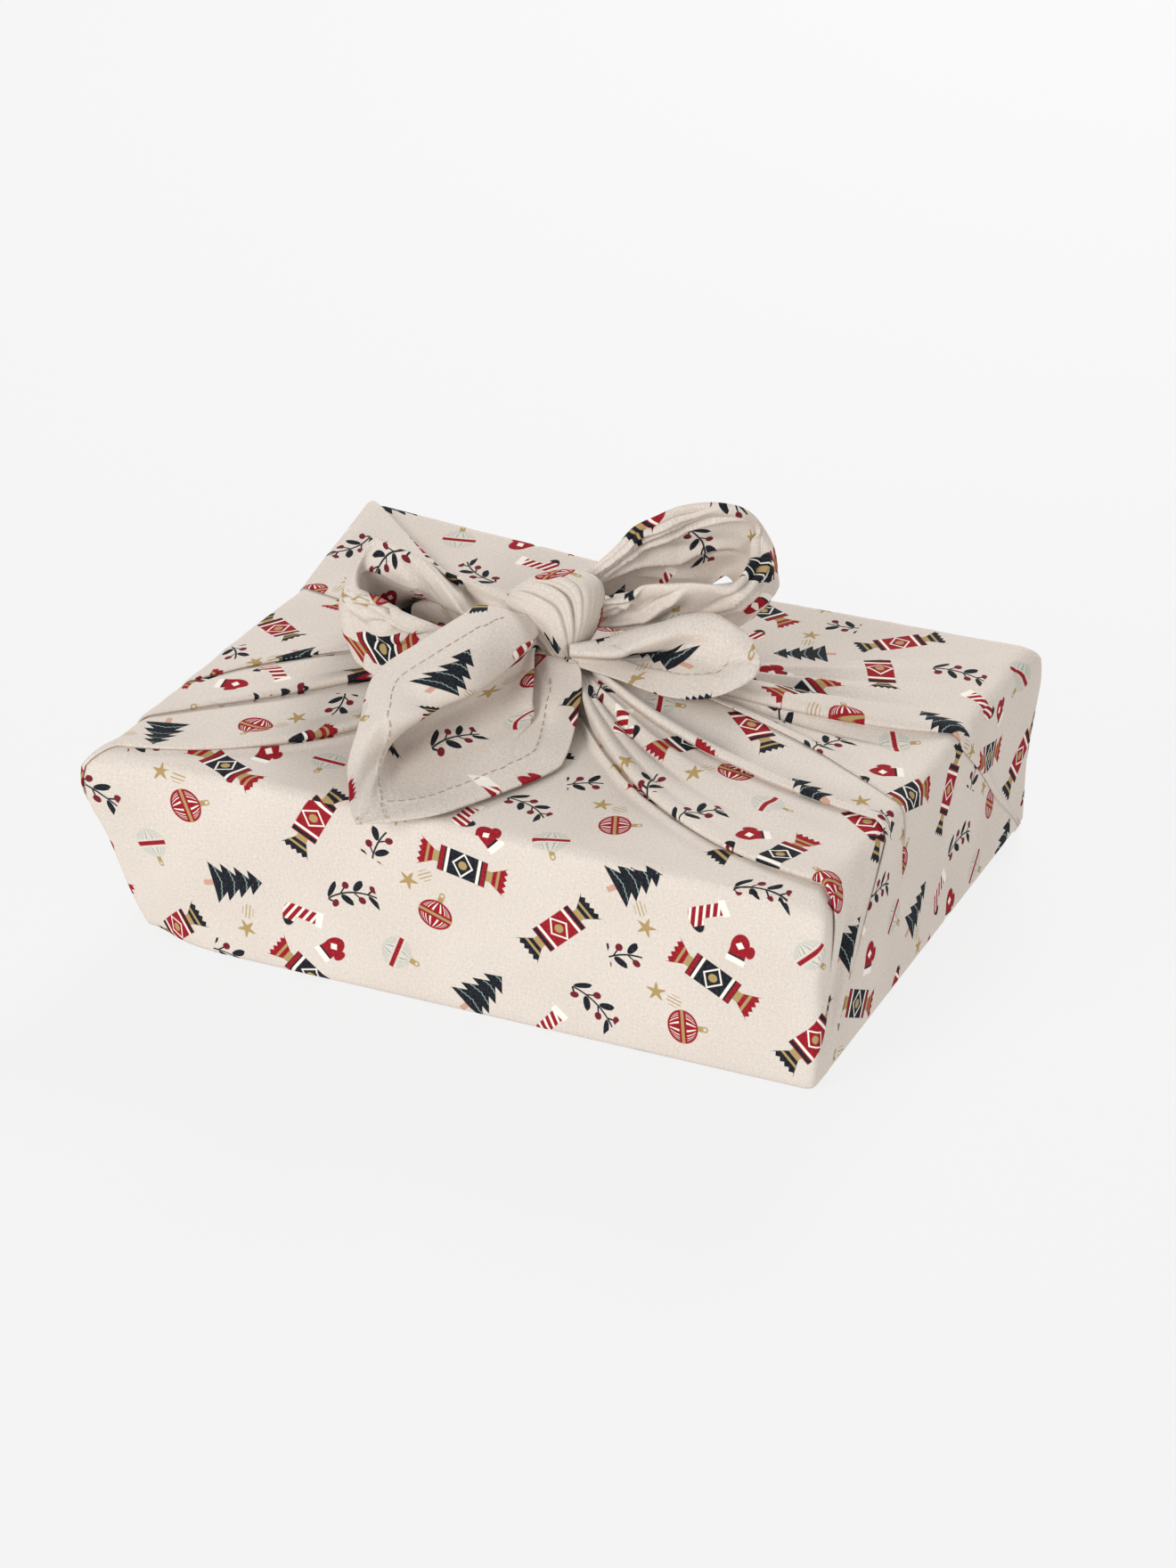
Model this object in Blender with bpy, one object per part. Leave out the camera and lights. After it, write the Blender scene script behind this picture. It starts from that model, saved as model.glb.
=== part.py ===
"""Furoshiki wrap: one square cloth folded round a flat box and tied on top in a bow.

The whole cloth is one filled solid. The bundle is a fan of spokes that run from the neck under the knot over
the top rim and down the four sides, and each fold of the cloth is one row of a table. The knot, the two loops
and the two tails are lofted in the bow's own frame and joined to the bundle.
Tables are in millimetres, the finished mesh is in metres. The origin is at the middle of the base.
"""

import math
from collections import namedtuple

import bmesh
import bpy
from mathutils import Matrix, Vector

for thing in list(bpy.data.objects):
    bpy.data.objects.remove(thing, do_unlink=True)

# ---------------------------------------------------------------- driving dimensions (mm)

LENGTH = 250.0  # of the bundle, along X
WIDTH = 199.0  # of the bundle, along Y
HEIGHT = 66.6  # of the flat top over the floor
CORNER_RADIUS = 3.5  # of the four upright edges
RIM_RADIUS = 4.5  # of the cloth over the top edge
FOOT_RADIUS = 1.5  # of the cloth under the bottom edge
NECK_CENTRE = (-5.0, -3.0, 91.0)  # top of the gathered cloth under the knot
BOW_ORIGIN = (-6.0, -1.0)  # foot of the bow's own upright axis
BOW_TURN = 24.2  # degrees, the bow lies askew on the box
TAIL_THICK = 2.0  # cloth of the tails
LOOP_THICK = 3.2  # gathered cloth of the loops
END_THINNING = 0.4  # share of the thickness at the ends of a loop or tail
END_STATIONS = 4.0  # sections over which it reaches its full thickness

# ---------------------------------------------------------------- helpers


def spline(points, place):
    """Point at a place, 0 to 1, on the smooth curve through evenly spaced points."""
    last = len(points) - 1
    scaled = min(max(place, 0.0), 1.0) * last
    index = min(int(scaled), last - 1)
    t = scaled - index
    before = points[max(index - 1, 0)]
    start = points[index]
    end = points[index + 1]
    after = points[min(index + 2, last)]
    return 0.5 * (
        2 * start
        + (end - before) * t
        + (2 * before - 5 * start + 4 * end - after) * t**2
        + (3 * start - before - 3 * end + after) * t**3
    )


def mesh_object(name, vertices, faces):
    """Object of a closed mesh given in millimetres, its faces turned outwards."""
    mesh = bpy.data.meshes.new(name)
    mesh.from_pydata([Vector(vertex) * 0.001 for vertex in vertices], [], faces)
    shape = bmesh.new()
    shape.from_mesh(mesh)
    bmesh.ops.triangulate(shape, faces=shape.faces)
    bmesh.ops.recalc_face_normals(shape, faces=shape.faces)
    shape.to_mesh(mesh)
    shape.free()
    made = bpy.data.objects.new(name, mesh)
    bpy.context.scene.collection.objects.link(made)
    return made


def grid_faces(rows, columns, offset=0, closed=False):
    """Quads of a grid of points stored row by row."""
    faces = []
    for row in range(rows - 1):
        for column in range(columns if closed else columns - 1):
            a = offset + row * columns + column
            b = offset + row * columns + (column + 1) % columns
            faces.append((a, b, b + columns, a + columns))
    return faces


# ---------------------------------------------------------------- the bundle

# Places on the rim and the floor are along a side from its middle, counted the way round that is
# near, right, far, left. Neck and via are points of the fold seen from above. Lift is the height of the
# fold's upper layer over the flat top, step is how far the layer beside it lies below.
# Lift and step are given at the neck, halfway and at the rim. Falls is 1 where the fold drops to the
# side that comes next, -1 where it drops to the one before, and 0 where it has no edge. Puff is the
# crown of the panel that comes next.
Fold = namedtuple("Fold", "name side rim floor neck via lift step falls puff")
FOLDS = (
    Fold("near flap", "near", 0, 0, (-6, -17), (-4, -58), (3, 0.6, 0.0), (0, 0, 0), 0, 0.0),
    Fold("right flap, near", "near", 121, 125, (4, -12), (57, -65), (15, 3.2, 1.4), (11, 2.6, 1.4), -1, 1.2),
    Fold("front pleat", "right", -50, -67, (9, -10), (60, -32), (18, 7.0, 1.6), (2.5, 2.4, 1.5), -1, -0.3),
    Fold("front pleat, back", "right", -41, -54, (10, -8), (66, -26), (18, 5.6, 0.4), (0, 0, 0), 0, 0.0),
    Fold("middle pleat", "right", -28, -25, (11, -6), (68, -6), (19, 7.4, 0.9), (1.5, 1.6, 0.6), -1, -1.2),
    Fold("far pleat", "right", 24, 90, (11, -3), (72, 6), (19, 8.6, 1.5), (2.5, 3.0, 1.4), -1, 0.0),
    Fold("far pleat, back", "right", 36, 93, (10, 0), (74, 22), (18, 6.4, 0.4), (0, 0, 0), 0, 0.4),
    Fold("right flap, far", "right", 97, 98, (7, 2), (66, 50), (15, 4.6, 1.2), (9, 2.8, 1.1), 1, 0.0),
    Fold("far flap", "far", 0, 0, (-5, 12), (-2, 58), (3, 0.6, 0.0), (0, 0, 0), 0, 0.0),
    Fold("left flap, far", "left", -98, -98, (-18, 6), (-70, 56), (15, 5.0, 11.0), (9, 3.4, 2.5), -1, -3.0),
    Fold("rim crease", "left", -40, -38, (-20, 3), (-76, 22), (18, 7.0, 1.0), (1.5, 1.2, 0.9), 1, 0.6),
    Fold("back pleat", "left", 44, 47, (-21, -2), (-80, -13), (18, 8.0, 1.2), (1.5, 1.8, 0.8), 1, 0.4),
    Fold("side pleat", "left", 74, 72, (-20, -5), (-72, -35), (18, 7.0, 1.4), (2.5, 2.8, 1.3), 1, 0.6),
    Fold("left flap, near", "near", -121, -125, (-16, -10), (-62, -67), (15, 3, 1.3), (11, 2.4, 1.3), 1, 0),
)
# The cloth stands out at the upright edges, a little below the rim.
Ear = namedtuple("Ear", "place out")
EARS = (
    Ear(0.0, 4.0),
    Ear(LENGTH, 3.0),
    Ear(LENGTH + WIDTH, 2.0),
)
EAR_SPREAD = 16.0  # along the rim, to each side
EAR_HEIGHT = 0.12  # share of the way down the side
EAR_REACH = 0.28
SIDES = {
    "near": LENGTH / 2,
    "right": LENGTH + WIDTH / 2,
    "far": 1.5 * LENGTH + WIDTH,
    "left": 2 * LENGTH + 1.5 * WIDTH,
}
PERIMETER = 2 * (LENGTH + WIDTH)
WALL = 1.0  # plan width of the short wall under a fold's edge
TOP_STEPS = 13
RIM_STEPS = 3
SIDE_STEPS = 5
FILL_PITCH = 13.0  # width of the panels between folds, at the rim
PROUD_SHARE = 0.6  # of a fold's lift at the rim, by which it stands out over the side
TUCK = 8.0  # the bottom corner near the left is drawn in
TUCK_SPREAD = 22.0  # along the floor, to each side of that corner


Edge = namedtuple("Edge", "rim floor neck via lift puff")


def outline(place, inset):
    """Point on the bundle's rounded rectangle, seen from above, drawn in by an inset."""
    along = place % PERIMETER
    half_x = LENGTH / 2 - inset
    half_y = WIDTH / 2 - inset
    corners = ((-1, -1), (1, -1), (1, 1), (-1, 1))
    lengths = (LENGTH, WIDTH, LENGTH, WIDTH)
    side = 0
    while along > lengths[side]:
        along -= lengths[side]
        side += 1
    start = Vector((corners[side][0] * half_x, corners[side][1] * half_y))
    end = Vector((corners[(side + 1) % 4][0] * half_x, corners[(side + 1) % 4][1] * half_y))
    point = start.lerp(end, along / lengths[side])
    core = Vector((half_x - CORNER_RADIUS, half_y - CORNER_RADIUS))
    nearest = Vector((min(max(point.x, -core.x), core.x), min(max(point.y, -core.y), core.y)))
    offset = point - nearest
    if offset.length > CORNER_RADIUS:
        point = nearest + offset.normalized() * CORNER_RADIUS
    return point


def fold_edges():
    """Edges of every fold in turn: its upper layer, and the foot of the wall under it where it has one."""
    edges = []
    for fold in FOLDS:
        side = SIDES[fold.side]
        if edges and side + fold.rim < edges[-1].rim:
            side += PERIMETER
        rim = side + fold.rim
        floor = side + fold.floor
        neck = Vector(fold.neck)
        via = Vector(fold.via)
        upper = Edge(rim, floor, neck, via, Vector(fold.lift), fold.puff)
        if fold.falls == 0:
            edges.append(upper)
            continue
        shift = fold.falls * WALL
        across = Vector((-via.y, via.x)).normalized() * shift
        under = Vector(fold.lift) - Vector(fold.step)
        lower = Edge(rim + shift, floor + shift, neck + across, via + across, under, 0.0)
        if fold.falls > 0:
            edges.extend((upper._replace(puff=0.0), lower._replace(puff=fold.puff)))
        else:
            edges.extend((lower, upper))
    return edges


def from_place(place, other):
    """Signed distance along the rim, the short way round."""
    return (place - other + PERIMETER / 2) % PERIMETER - PERIMETER / 2


def ear_out(place, t):
    """How far the cloth stands out at a place along the rim, a share t of the way down the side."""
    fade = math.exp(-(((t - EAR_HEIGHT) / EAR_REACH) ** 2))
    return fade * sum(ear.out * math.exp(-((from_place(place, ear.place) / EAR_SPREAD) ** 2)) for ear in EARS)


def spoke(edge):
    """Points of one spoke from the neck over the rim to the floor."""
    points = []
    target = outline(edge.rim, RIM_RADIUS)
    control = 2 * edge.via - 0.5 * (edge.neck + target)
    for step in range(TOP_STEPS):
        t = step / (TOP_STEPS - 1)
        plan = edge.neck * (1 - t) ** 2 + control * 2 * t * (1 - t) + target * t**2
        lift = edge.lift[0] * (1 - t) * (1 - 2 * t)
        lift += edge.lift[1] * 4 * t * (1 - t)
        lift += edge.lift[2] * t * (2 * t - 1)
        points.append((plan.x, plan.y, HEIGHT + lift))
    proud = PROUD_SHARE * edge.lift[2]
    for step in range(1, RIM_STEPS + 1):
        turn = math.radians(90 * step / RIM_STEPS)
        out = proud * math.sin(turn) + ear_out(edge.rim, 0.0) * (1 - math.cos(turn))
        plan = outline(edge.rim, RIM_RADIUS * (1 - math.sin(turn)) - out)
        drop = RIM_RADIUS * (1 - math.cos(turn))
        points.append((plan.x, plan.y, HEIGHT + edge.lift[2] * math.cos(turn) - drop))
    drawn_in = TUCK * math.exp(-((from_place(edge.floor, 0.0) / TUCK_SPREAD) ** 2))
    for step in range(1, SIDE_STEPS + 1):
        t = step / SIDE_STEPS
        height = (HEIGHT - RIM_RADIUS) * (1 - t) + FOOT_RADIUS * t
        place = edge.rim + (edge.floor - edge.rim) * t
        plan = outline(place, drawn_in * t - proud * (1 - t) - ear_out(place, t))
        points.append((plan.x, plan.y, height))
    plan = outline(edge.floor, drawn_in + FOOT_RADIUS)
    points.append((plan.x, plan.y, 0.0))
    return points


def bundle():
    """Box-shaped bundle of the folded flaps, flat where it stands."""
    edges = fold_edges()
    spokes = []
    for index, edge in enumerate(edges):
        after = edges[(index + 1) % len(edges)]
        lap = PERIMETER if index + 1 == len(edges) else 0.0
        gap = after.rim + lap - edge.rim
        panels = max(1, round(gap / FILL_PITCH))
        for panel in range(panels):
            t = panel / panels
            crown = edge.puff * math.sin(math.pi * t) * Vector((0.0, 1.0, 0.0))
            between = edge._replace(
                rim=edge.rim + gap * t,
                floor=edge.floor + (after.floor + lap - edge.floor) * t,
                neck=edge.neck.lerp(after.neck, t),
                via=edge.via.lerp(after.via, t),
                lift=edge.lift.lerp(after.lift, t) + crown,
            )
            spokes.append(spoke(between))
    rows = len(spokes)
    columns = len(spokes[0])
    vertices = [point for points in spokes for point in points]
    faces = []
    for row in range(rows):
        for column in range(columns - 1):
            a = row * columns + column
            b = (row + 1) % rows * columns + column
            faces.append((a, a + 1, b + 1, b))
    neck = len(vertices)
    vertices.append(NECK_CENTRE)
    vertices.append((0.0, 0.0, 0.0))
    for row in range(rows):
        a = row * columns
        b = (row + 1) % rows * columns
        faces.append((neck, a, b))
        faces.append((neck + 1, b + columns - 1, a + columns - 1))
    return mesh_object("furoshiki", vertices, faces)


# ---------------------------------------------------------------- the bow

# All of the bow's tables are in its own frame: across to the right, back, up.


def in_bow(point):
    """Point of the bow's frame in the bundle's frame."""
    turned = Matrix.Rotation(math.radians(BOW_TURN), 3, "Z") @ Vector(point)
    return turned + Vector((*BOW_ORIGIN, 0.0))


# The knot is a band that comes over from the back left and down to the front.
Girth = namedtuple("Girth", "place radius")
KNOT = (
    Girth((-17, 6, 101), 3.0),
    Girth((-12, 5, 101.5), 9.5),
    Girth((-4, 3, 100), 14.5),
    Girth((3, -1, 97), 15.0),
    Girth((5, -7, 91.5), 11.5),
    Girth((4, -12, 86), 3.5),
)
KNOT_RINGS = 13
KNOT_SIDES = 20
KNOT_CREASES = 7
KNOT_CREASE_DEPTH = 0.7
LOOP_STEPS = 9  # points across a loop's band
LOOP_STATIONS = 30  # sections along it
LOOP_PLEATS = 2  # lengthwise
PLEAT_DEPTH = 0.5
TAIL_STEPS = 16  # points across a tail, from hem to hem
LEFT_TAIL_STATIONS = 22
RIGHT_TAIL_STATIONS = 18


def knot():
    """Creased band of the knot, a spindle with a point at each end."""
    centres = [Vector(girth.place) for girth in KNOT]
    radii = [Vector((girth.radius, 0, 0)) for girth in KNOT]
    vertices = []
    ahead = centres[-1] - centres[0]
    side = ahead.cross(Vector((0, 0, 1))).normalized()
    top = side.cross(ahead).normalized()
    for ring in range(KNOT_RINGS):
        place = ring / (KNOT_RINGS - 1)
        centre = spline(centres, place)
        radius = spline(radii, place).x
        for corner in range(KNOT_SIDES):
            angle = math.tau * corner / KNOT_SIDES
            crease = KNOT_CREASE_DEPTH * math.sin(math.pi * place) * math.cos(KNOT_CREASES * angle)
            reach = radius + crease
            vertices.append(in_bow(centre + side * math.cos(angle) * reach + top * math.sin(angle) * reach))
    faces = grid_faces(KNOT_RINGS, KNOT_SIDES, closed=True)
    faces.append(tuple(range(KNOT_SIDES)))
    faces.append(tuple(range((KNOT_RINGS - 1) * KNOT_SIDES, KNOT_RINGS * KNOT_SIDES)))
    return mesh_object("knot", vertices, faces)


def sheet(name, sections, thick, steps, stations, pleats=0):
    """Closed sheet of cloth lofted through sections, each a row of points from edge to edge.

    It thins towards its first and its last section.
    """
    lines = [[Vector(point) for point in section] for section in sections]
    middle = []
    for station in range(stations):
        place = station / (stations - 1)
        row = [spline([line[column] for line in lines], place) for column in range(len(lines[0]))]
        middle.append([spline(row, step / (steps - 1)) for step in range(steps)])
    upper = []
    lower = []
    for station in range(stations):
        for step in range(steps):
            along = middle[min(station + 1, stations - 1)][step] - middle[max(station - 1, 0)][step]
            across = middle[station][min(step + 1, steps - 1)] - middle[station][max(step - 1, 0)]
            normal = along.cross(across).normalized()
            wave = PLEAT_DEPTH * math.cos(math.tau * pleats * step / (steps - 1)) if pleats else 0.0
            centre = middle[station][step] + normal * wave
            from_end = min(station, stations - 1 - station)
            half = thick / 2 * min(1.0, END_THINNING + from_end / END_STATIONS)
            upper.append(in_bow(centre + normal * half))
            lower.append(in_bow(centre - normal * half))
    count = len(upper)
    faces = grid_faces(stations, steps)
    faces += [tuple(reversed(face)) for face in grid_faces(stations, steps, offset=count)]
    border = list(range(steps))
    border += [row * steps + steps - 1 for row in range(1, stations)]
    border += [(stations - 1) * steps + step for step in range(steps - 2, -1, -1)]
    border += [row * steps for row in range(stations - 2, 0, -1)]
    for a, b in zip(border, border[1:] + border[:1]):
        faces.append((b, a, a + count, b + count))
    return mesh_object(name, upper + lower, faces)


# Each section of a loop runs from the upper edge of its gathered band over a middle point to the lower edge.
Band = namedtuple("Band", "upper middle lower")
RIGHT_LOOP = (
    Band((8, 5, 108), (9, 4, 104), (10, 3, 100)),
    Band((20, 7, 120), (21, 9, 110), (22, 5, 101)),
    Band((35, 11, 130), (36, 16, 114), (35, 10, 98)),
    Band((50, 14, 131), (50, 20, 115), (48, 12, 99)),
    Band((61, 13, 128), (65, 16, 117), (58, 12, 102)),
    Band((66, 7, 122), (71, 7, 114), (69, 7, 104)),
    Band((64, -1, 117), (71, -1, 110), (71, 0, 101)),
    Band((56, -8, 113), (63, -10, 106), (63, -7, 97)),
    Band((42, -10, 113), (46, -15, 104), (46, -11, 94)),
    Band((27, -8, 110), (29, -13, 102), (29, -9, 93)),
    Band((15, -2, 104), (15, -5, 99), (14, -3, 95)),
    Band((8, -3, 102), (8, -4, 98), (8, -4, 95)),
)
LEFT_LOOP = (
    Band((-9, 4, 104), (-9, 3, 100), (-9, 2, 96)),
    Band((-20, 7, 103), (-21, 8, 97), (-21, 4, 91)),
    Band((-34, 13, 104), (-35, 14, 97), (-35, 9, 89)),
    Band((-49, 16, 108), (-50, 18, 99), (-50, 11, 89)),
    Band((-61, 13, 114), (-62, 15, 103), (-60, 9, 92)),
    Band((-68, 6, 112), (-70, 6, 103), (-66, 4, 94)),
    Band((-69, -3, 109), (-73, -4, 101), (-69, -4, 92)),
    Band((-62, -9, 106), (-68, -13, 96), (-65, -10, 86)),
    Band((-50, -10, 102), (-55, -16, 93), (-54, -12, 82)),
    Band((-36, -9, 99), (-39, -14, 91), (-39, -11, 82)),
    Band((-21, -6, 98), (-22, -9, 92), (-22, -8, 86)),
    Band((-9, -1, 98), (-9, -2, 94), (-9, -2, 90)),
)
# Each section of a tail runs from hem to hem over the edge of its fold and back under it.
Tail = namedtuple("Tail", "hem crown lip tuck floor free_hem")
LEFT_TAIL = (
    Tail((-4, -6, 101), (-2, -9, 98), (0, -11, 95), (1, -10, 93), (3, -10, 90), (5, -9, 88)),
    Tail((-19, -14, 106), (-14, -19, 102), (-9, -22, 95), (-6, -19, 90), (1, -18, 85), (8, -18, 79)),
    Tail((-36, -21, 107), (-30, -29, 101), (-22, -35, 89), (-18, -31, 85), (-7, -33, 79), (5, -34, 74)),
    Tail((-53, -31, 101), (-47, -41, 96), (-38, -49, 86), (-32, -46, 80), (-18, -50, 74), (-1, -52, 70)),
    Tail((-62, -42, 95), (-57, -53, 91), (-49, -62, 83), (-43, -60, 76), (-27, -62, 72), (-8, -66, 69)),
    Tail((-65, -58, 83), (-61, -67, 81), (-55, -74, 77), (-50, -74, 73), (-38, -76, 70), (-25, -78, 69)),
    Tail((-65, -77, 74), (-62, -81, 73), (-58, -84, 71), (-55, -84, 70), (-50, -85, 69), (-45, -86, 69)),
    Tail((-66, -90, 69), (-65, -91, 69), (-64, -92, 69), (-63, -92.5, 69), (-62, -93, 69), (-61, -93, 69)),
)
Leaf = namedtuple("Leaf", "back ridge slope valley front hem")
RIGHT_TAIL = (
    Leaf((1, -5, 92), (3, -7, 92), (5, -8.5, 91), (6, -9.5, 89.5), (6.5, -10, 88), (7, -10, 86)),
    Leaf((17, -4, 88), (20, -8, 91), (22, -11, 89), (23, -11, 86), (22, -13, 83), (20, -16, 81)),
    Leaf((30, -1, 90), (33, -6, 96), (35, -12, 93), (36, -13, 87), (36, -18, 82), (35, -24, 80)),
    Leaf((44, 3, 91), (46, -5, 99), (48, -14, 96), (48, -17, 89), (47, -24, 83), (45, -31, 81)),
    Leaf((53, -1, 89), (55, -7, 97), (56, -15, 95), (56, -20, 89), (54, -27, 85), (52, -33, 83)),
    Leaf((59, -6, 87), (61, -11, 93), (62, -17, 93), (62, -23, 90), (61, -28, 88), (59, -33, 86)),
    Leaf((62, -16, 86), (64, -19, 89), (65, -22, 91), (65, -26, 91), (64, -29, 90), (63, -32, 89)),
)


def cloth_material():
    """Natural cotton, as its ground colour shows between the printed motifs."""
    material = bpy.data.materials.new("printed cotton")
    material.use_nodes = True
    shader = material.node_tree.nodes["Principled BSDF"]
    shader.inputs["Base Color"].default_value = (0.68, 0.58, 0.49, 1.0)
    shader.inputs["Roughness"].default_value = 0.85
    shader.inputs["Metallic"].default_value = 0.0
    return material


body = bundle()
body.data.materials.append(cloth_material())
body.data.shade_smooth()
body.data.set_sharp_from_angle(angle=math.radians(40))
bow = (
    knot(),
    sheet("right_loop", RIGHT_LOOP, LOOP_THICK, LOOP_STEPS, LOOP_STATIONS, LOOP_PLEATS),
    sheet("left_loop", LEFT_LOOP, LOOP_THICK, LOOP_STEPS, LOOP_STATIONS, LOOP_PLEATS),
    sheet("left_tail", LEFT_TAIL, TAIL_THICK, TAIL_STEPS, LEFT_TAIL_STATIONS),
    sheet("right_tail", RIGHT_TAIL, TAIL_THICK, TAIL_STEPS, RIGHT_TAIL_STATIONS),
)
for piece in bow:
    piece.hide_render = True
    piece.display_type = "WIRE"
    join = body.modifiers.new("join " + piece.name, "BOOLEAN")
    join.operation = "UNION"
    join.solver = "EXACT"
    join.object = piece
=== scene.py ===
import math
from collections import namedtuple

import bpy
from mathutils import Matrix, Vector, noise


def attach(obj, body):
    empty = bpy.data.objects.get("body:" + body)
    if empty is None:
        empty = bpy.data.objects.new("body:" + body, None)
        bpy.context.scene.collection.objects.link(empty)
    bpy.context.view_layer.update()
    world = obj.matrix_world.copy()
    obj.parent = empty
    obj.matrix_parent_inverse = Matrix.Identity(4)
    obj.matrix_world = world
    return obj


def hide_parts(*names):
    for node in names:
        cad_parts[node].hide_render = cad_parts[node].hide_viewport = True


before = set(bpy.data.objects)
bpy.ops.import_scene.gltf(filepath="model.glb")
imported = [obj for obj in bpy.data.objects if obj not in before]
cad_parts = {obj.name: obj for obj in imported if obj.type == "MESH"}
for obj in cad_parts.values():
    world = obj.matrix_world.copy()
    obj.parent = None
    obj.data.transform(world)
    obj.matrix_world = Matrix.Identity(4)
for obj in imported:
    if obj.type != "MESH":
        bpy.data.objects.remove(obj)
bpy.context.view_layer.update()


# ---------------------------------------------------------------- the folded bundle

# One square of printed natural cotton, laid cornerwise under a flat box. The near and far corners are
# folded over the lid, then the left and right ones are gathered over them and drawn up to the knot.
# Sizes are in millimetres. Places run along the rim from the near left corner, near, right, far, left.

MM = 0.001
LENGTH = 250.0
WIDTH = 199.0
HEIGHT = 66.6
CORNER_RADII = {(-1, -1): 1.6, (1, -1): 3.2, (1, 1): 4.0, (-1, 1): 3.0}
RIM_RADIUS = 3.6
FOOT_RADIUS = 2.5
CLOTH = 0.5  # thickness of one layer

# Each fold runs from its neck at the knot, by way of a point on the lid, over the rim to the floor. Rim
# and floor are places from the middle of a side. Lift and step are the heights of the cloth and of the
# folded edge at the knot, halfway and at the rim. The edge falls to one side or the other, and opens
# towards the foot. Puff crowns the cloth after it, and slip is how far the print jumps across it.
Fold = namedtuple("Fold", "name side rim floor neck via lift step falls puff slip opens")
FOLDS = (
    Fold("near flap", "near", 0, 0, (-6, -17), (-4, -58), (3, 0.6, 0), (0, 0, 0), 0, 0, 0, 1),
    Fold("right flap, near", "near", 132, 129, (4, -12), (57, -65), (15, 5.0, 3.4),
         (11, 4.4, 3.3), -1, 1.2, 0, 2.2),
    Fold("front pleat", "right", -45, -84, (9, -10), (60, -32), (18, 8, 2.2),
         (3.5, 3.4, 2.0), -1, -0.3, 17, 1.3),
    Fold("front pleat, back", "right", -37, -66, (10, -8), (66, -26), (18, 5.6, 0.4),
         (0, 0, 0), 0, 0, 0, 1),
    Fold("middle pleat", "right", -28, -25, (11, -6), (68, -6), (19, 7.4, 0.9),
         (1.5, 1.2, 0.5), -1, -1.2, 9, 1.6),
    Fold("far pleat", "right", 24, 90, (11, -3), (72, 6), (19, 9.4, 2.0), (3.5, 4.2, 1.9), -1, 0, 14, 0.3),
    Fold("far pleat, back", "right", 36, 93, (10, 0), (74, 22), (18, 6.4, 0.4), (0, 0, 0), 0, 0.4, 0, 0.6),
    Fold("right flap, far", "right", 97, 98, (7, 2), (66, 50), (15, 4.6, 1.2), (9, 2.8, 1.1), 1, 0, 0, 1),
    Fold("far flap", "far", 0, 0, (-5, 12), (-2, 58), (3, 0.6, 0), (0, 0, 0), 0, 0, 0, 1),
    Fold("left flap, far", "left", -98, -98, (-18, 6), (-70, 56), (15, 5, 11), (9, 3.4, 2.5), -1, -3, 0, 1),
    Fold("rim crease", "left", -40, -38, (-20, 3), (-76, 22), (18, 7, 1), (1.5, 1.2, 0.9), 1, 0.6, 11, 1.5),
    Fold("back pleat", "left", 44, 47, (-21, -2), (-80, -13), (18, 8.6, 1.5),
         (2.5, 2.6, 1.1), 1, 0.4, 15, 1),
    Fold("side pleat", "left", 74, 72, (-20, -5), (-72, -35), (18, 8, 1.9), (3.2, 3.8, 1.8), 1, 0.6, 12, 1),
    Fold("left flap, near", "near", -124, -134, (-16, -10), (-62, -67), (15, 4.2, 1.8),
         (11, 3.6, 1.8), 1, 0, -78, 1.5),
)
# Corners of the rim where the cloth stands out in a soft ear.
Ear = namedtuple("Ear", "place out")
EARS = (Ear(0.0, 4.0), Ear(LENGTH, 3.0), Ear(LENGTH + WIDTH, 2.0))
EAR_SPREAD = 16.0
EAR_HEIGHT = 0.12
EAR_REACH = 0.28
SIDES = {
    "near": LENGTH / 2,
    "right": LENGTH + WIDTH / 2,
    "far": 1.5 * LENGTH + WIDTH,
    "left": 2 * LENGTH + 1.5 * WIDTH,
}
PERIMETER = 2 * (LENGTH + WIDTH)
GATHER_TOP = Vector((-4.0, -2.0, 87.0))  # where the flaps meet, inside the knot
GATHER_STEPS = 8
TOP_STEPS = 46
RIM_STEPS = 5
SIDE_STEPS = 18
PITCH = 1.75  # width of the mesh's faces at the rim
PROUD_SHARE = 0.6  # of a fold's height at the rim by which it stands out from the side
TUCK = 8.0  # by which the foot of the near left corner is drawn in
TUCK_SPREAD = 22.0
LIP = 1.7  # radius of a folded edge
# Across a folded edge: distance towards the side it drops to, share of the lip's radius and share of the
# rest of the step by which the cloth has dropped there, and the distance where the fold has opened.
LipPoint = namedtuple("LipPoint", "along rolled dropped opened")
LIP_ROLL = (
    LipPoint(-3.4, 0.0, 0.0, -3.4),
    LipPoint(-1.7, 0.04, 0.0, -2.9),
    LipPoint(-0.8, 0.3, 0.0, -2.4),
    LipPoint(-0.15, 0.75, 0.0, -1.9),
    LipPoint(0.1, 1.2, 0.0, -1.4),
    LipPoint(-0.25, 1.7, 0.1, -0.9),
    LipPoint(-1.1, 2.0, 0.5, -0.4),
    LipPoint(-1.9, 2.0, 0.85, 0.1),
    LipPoint(-0.6, 2.0, 1.0, 0.6),
)

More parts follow.
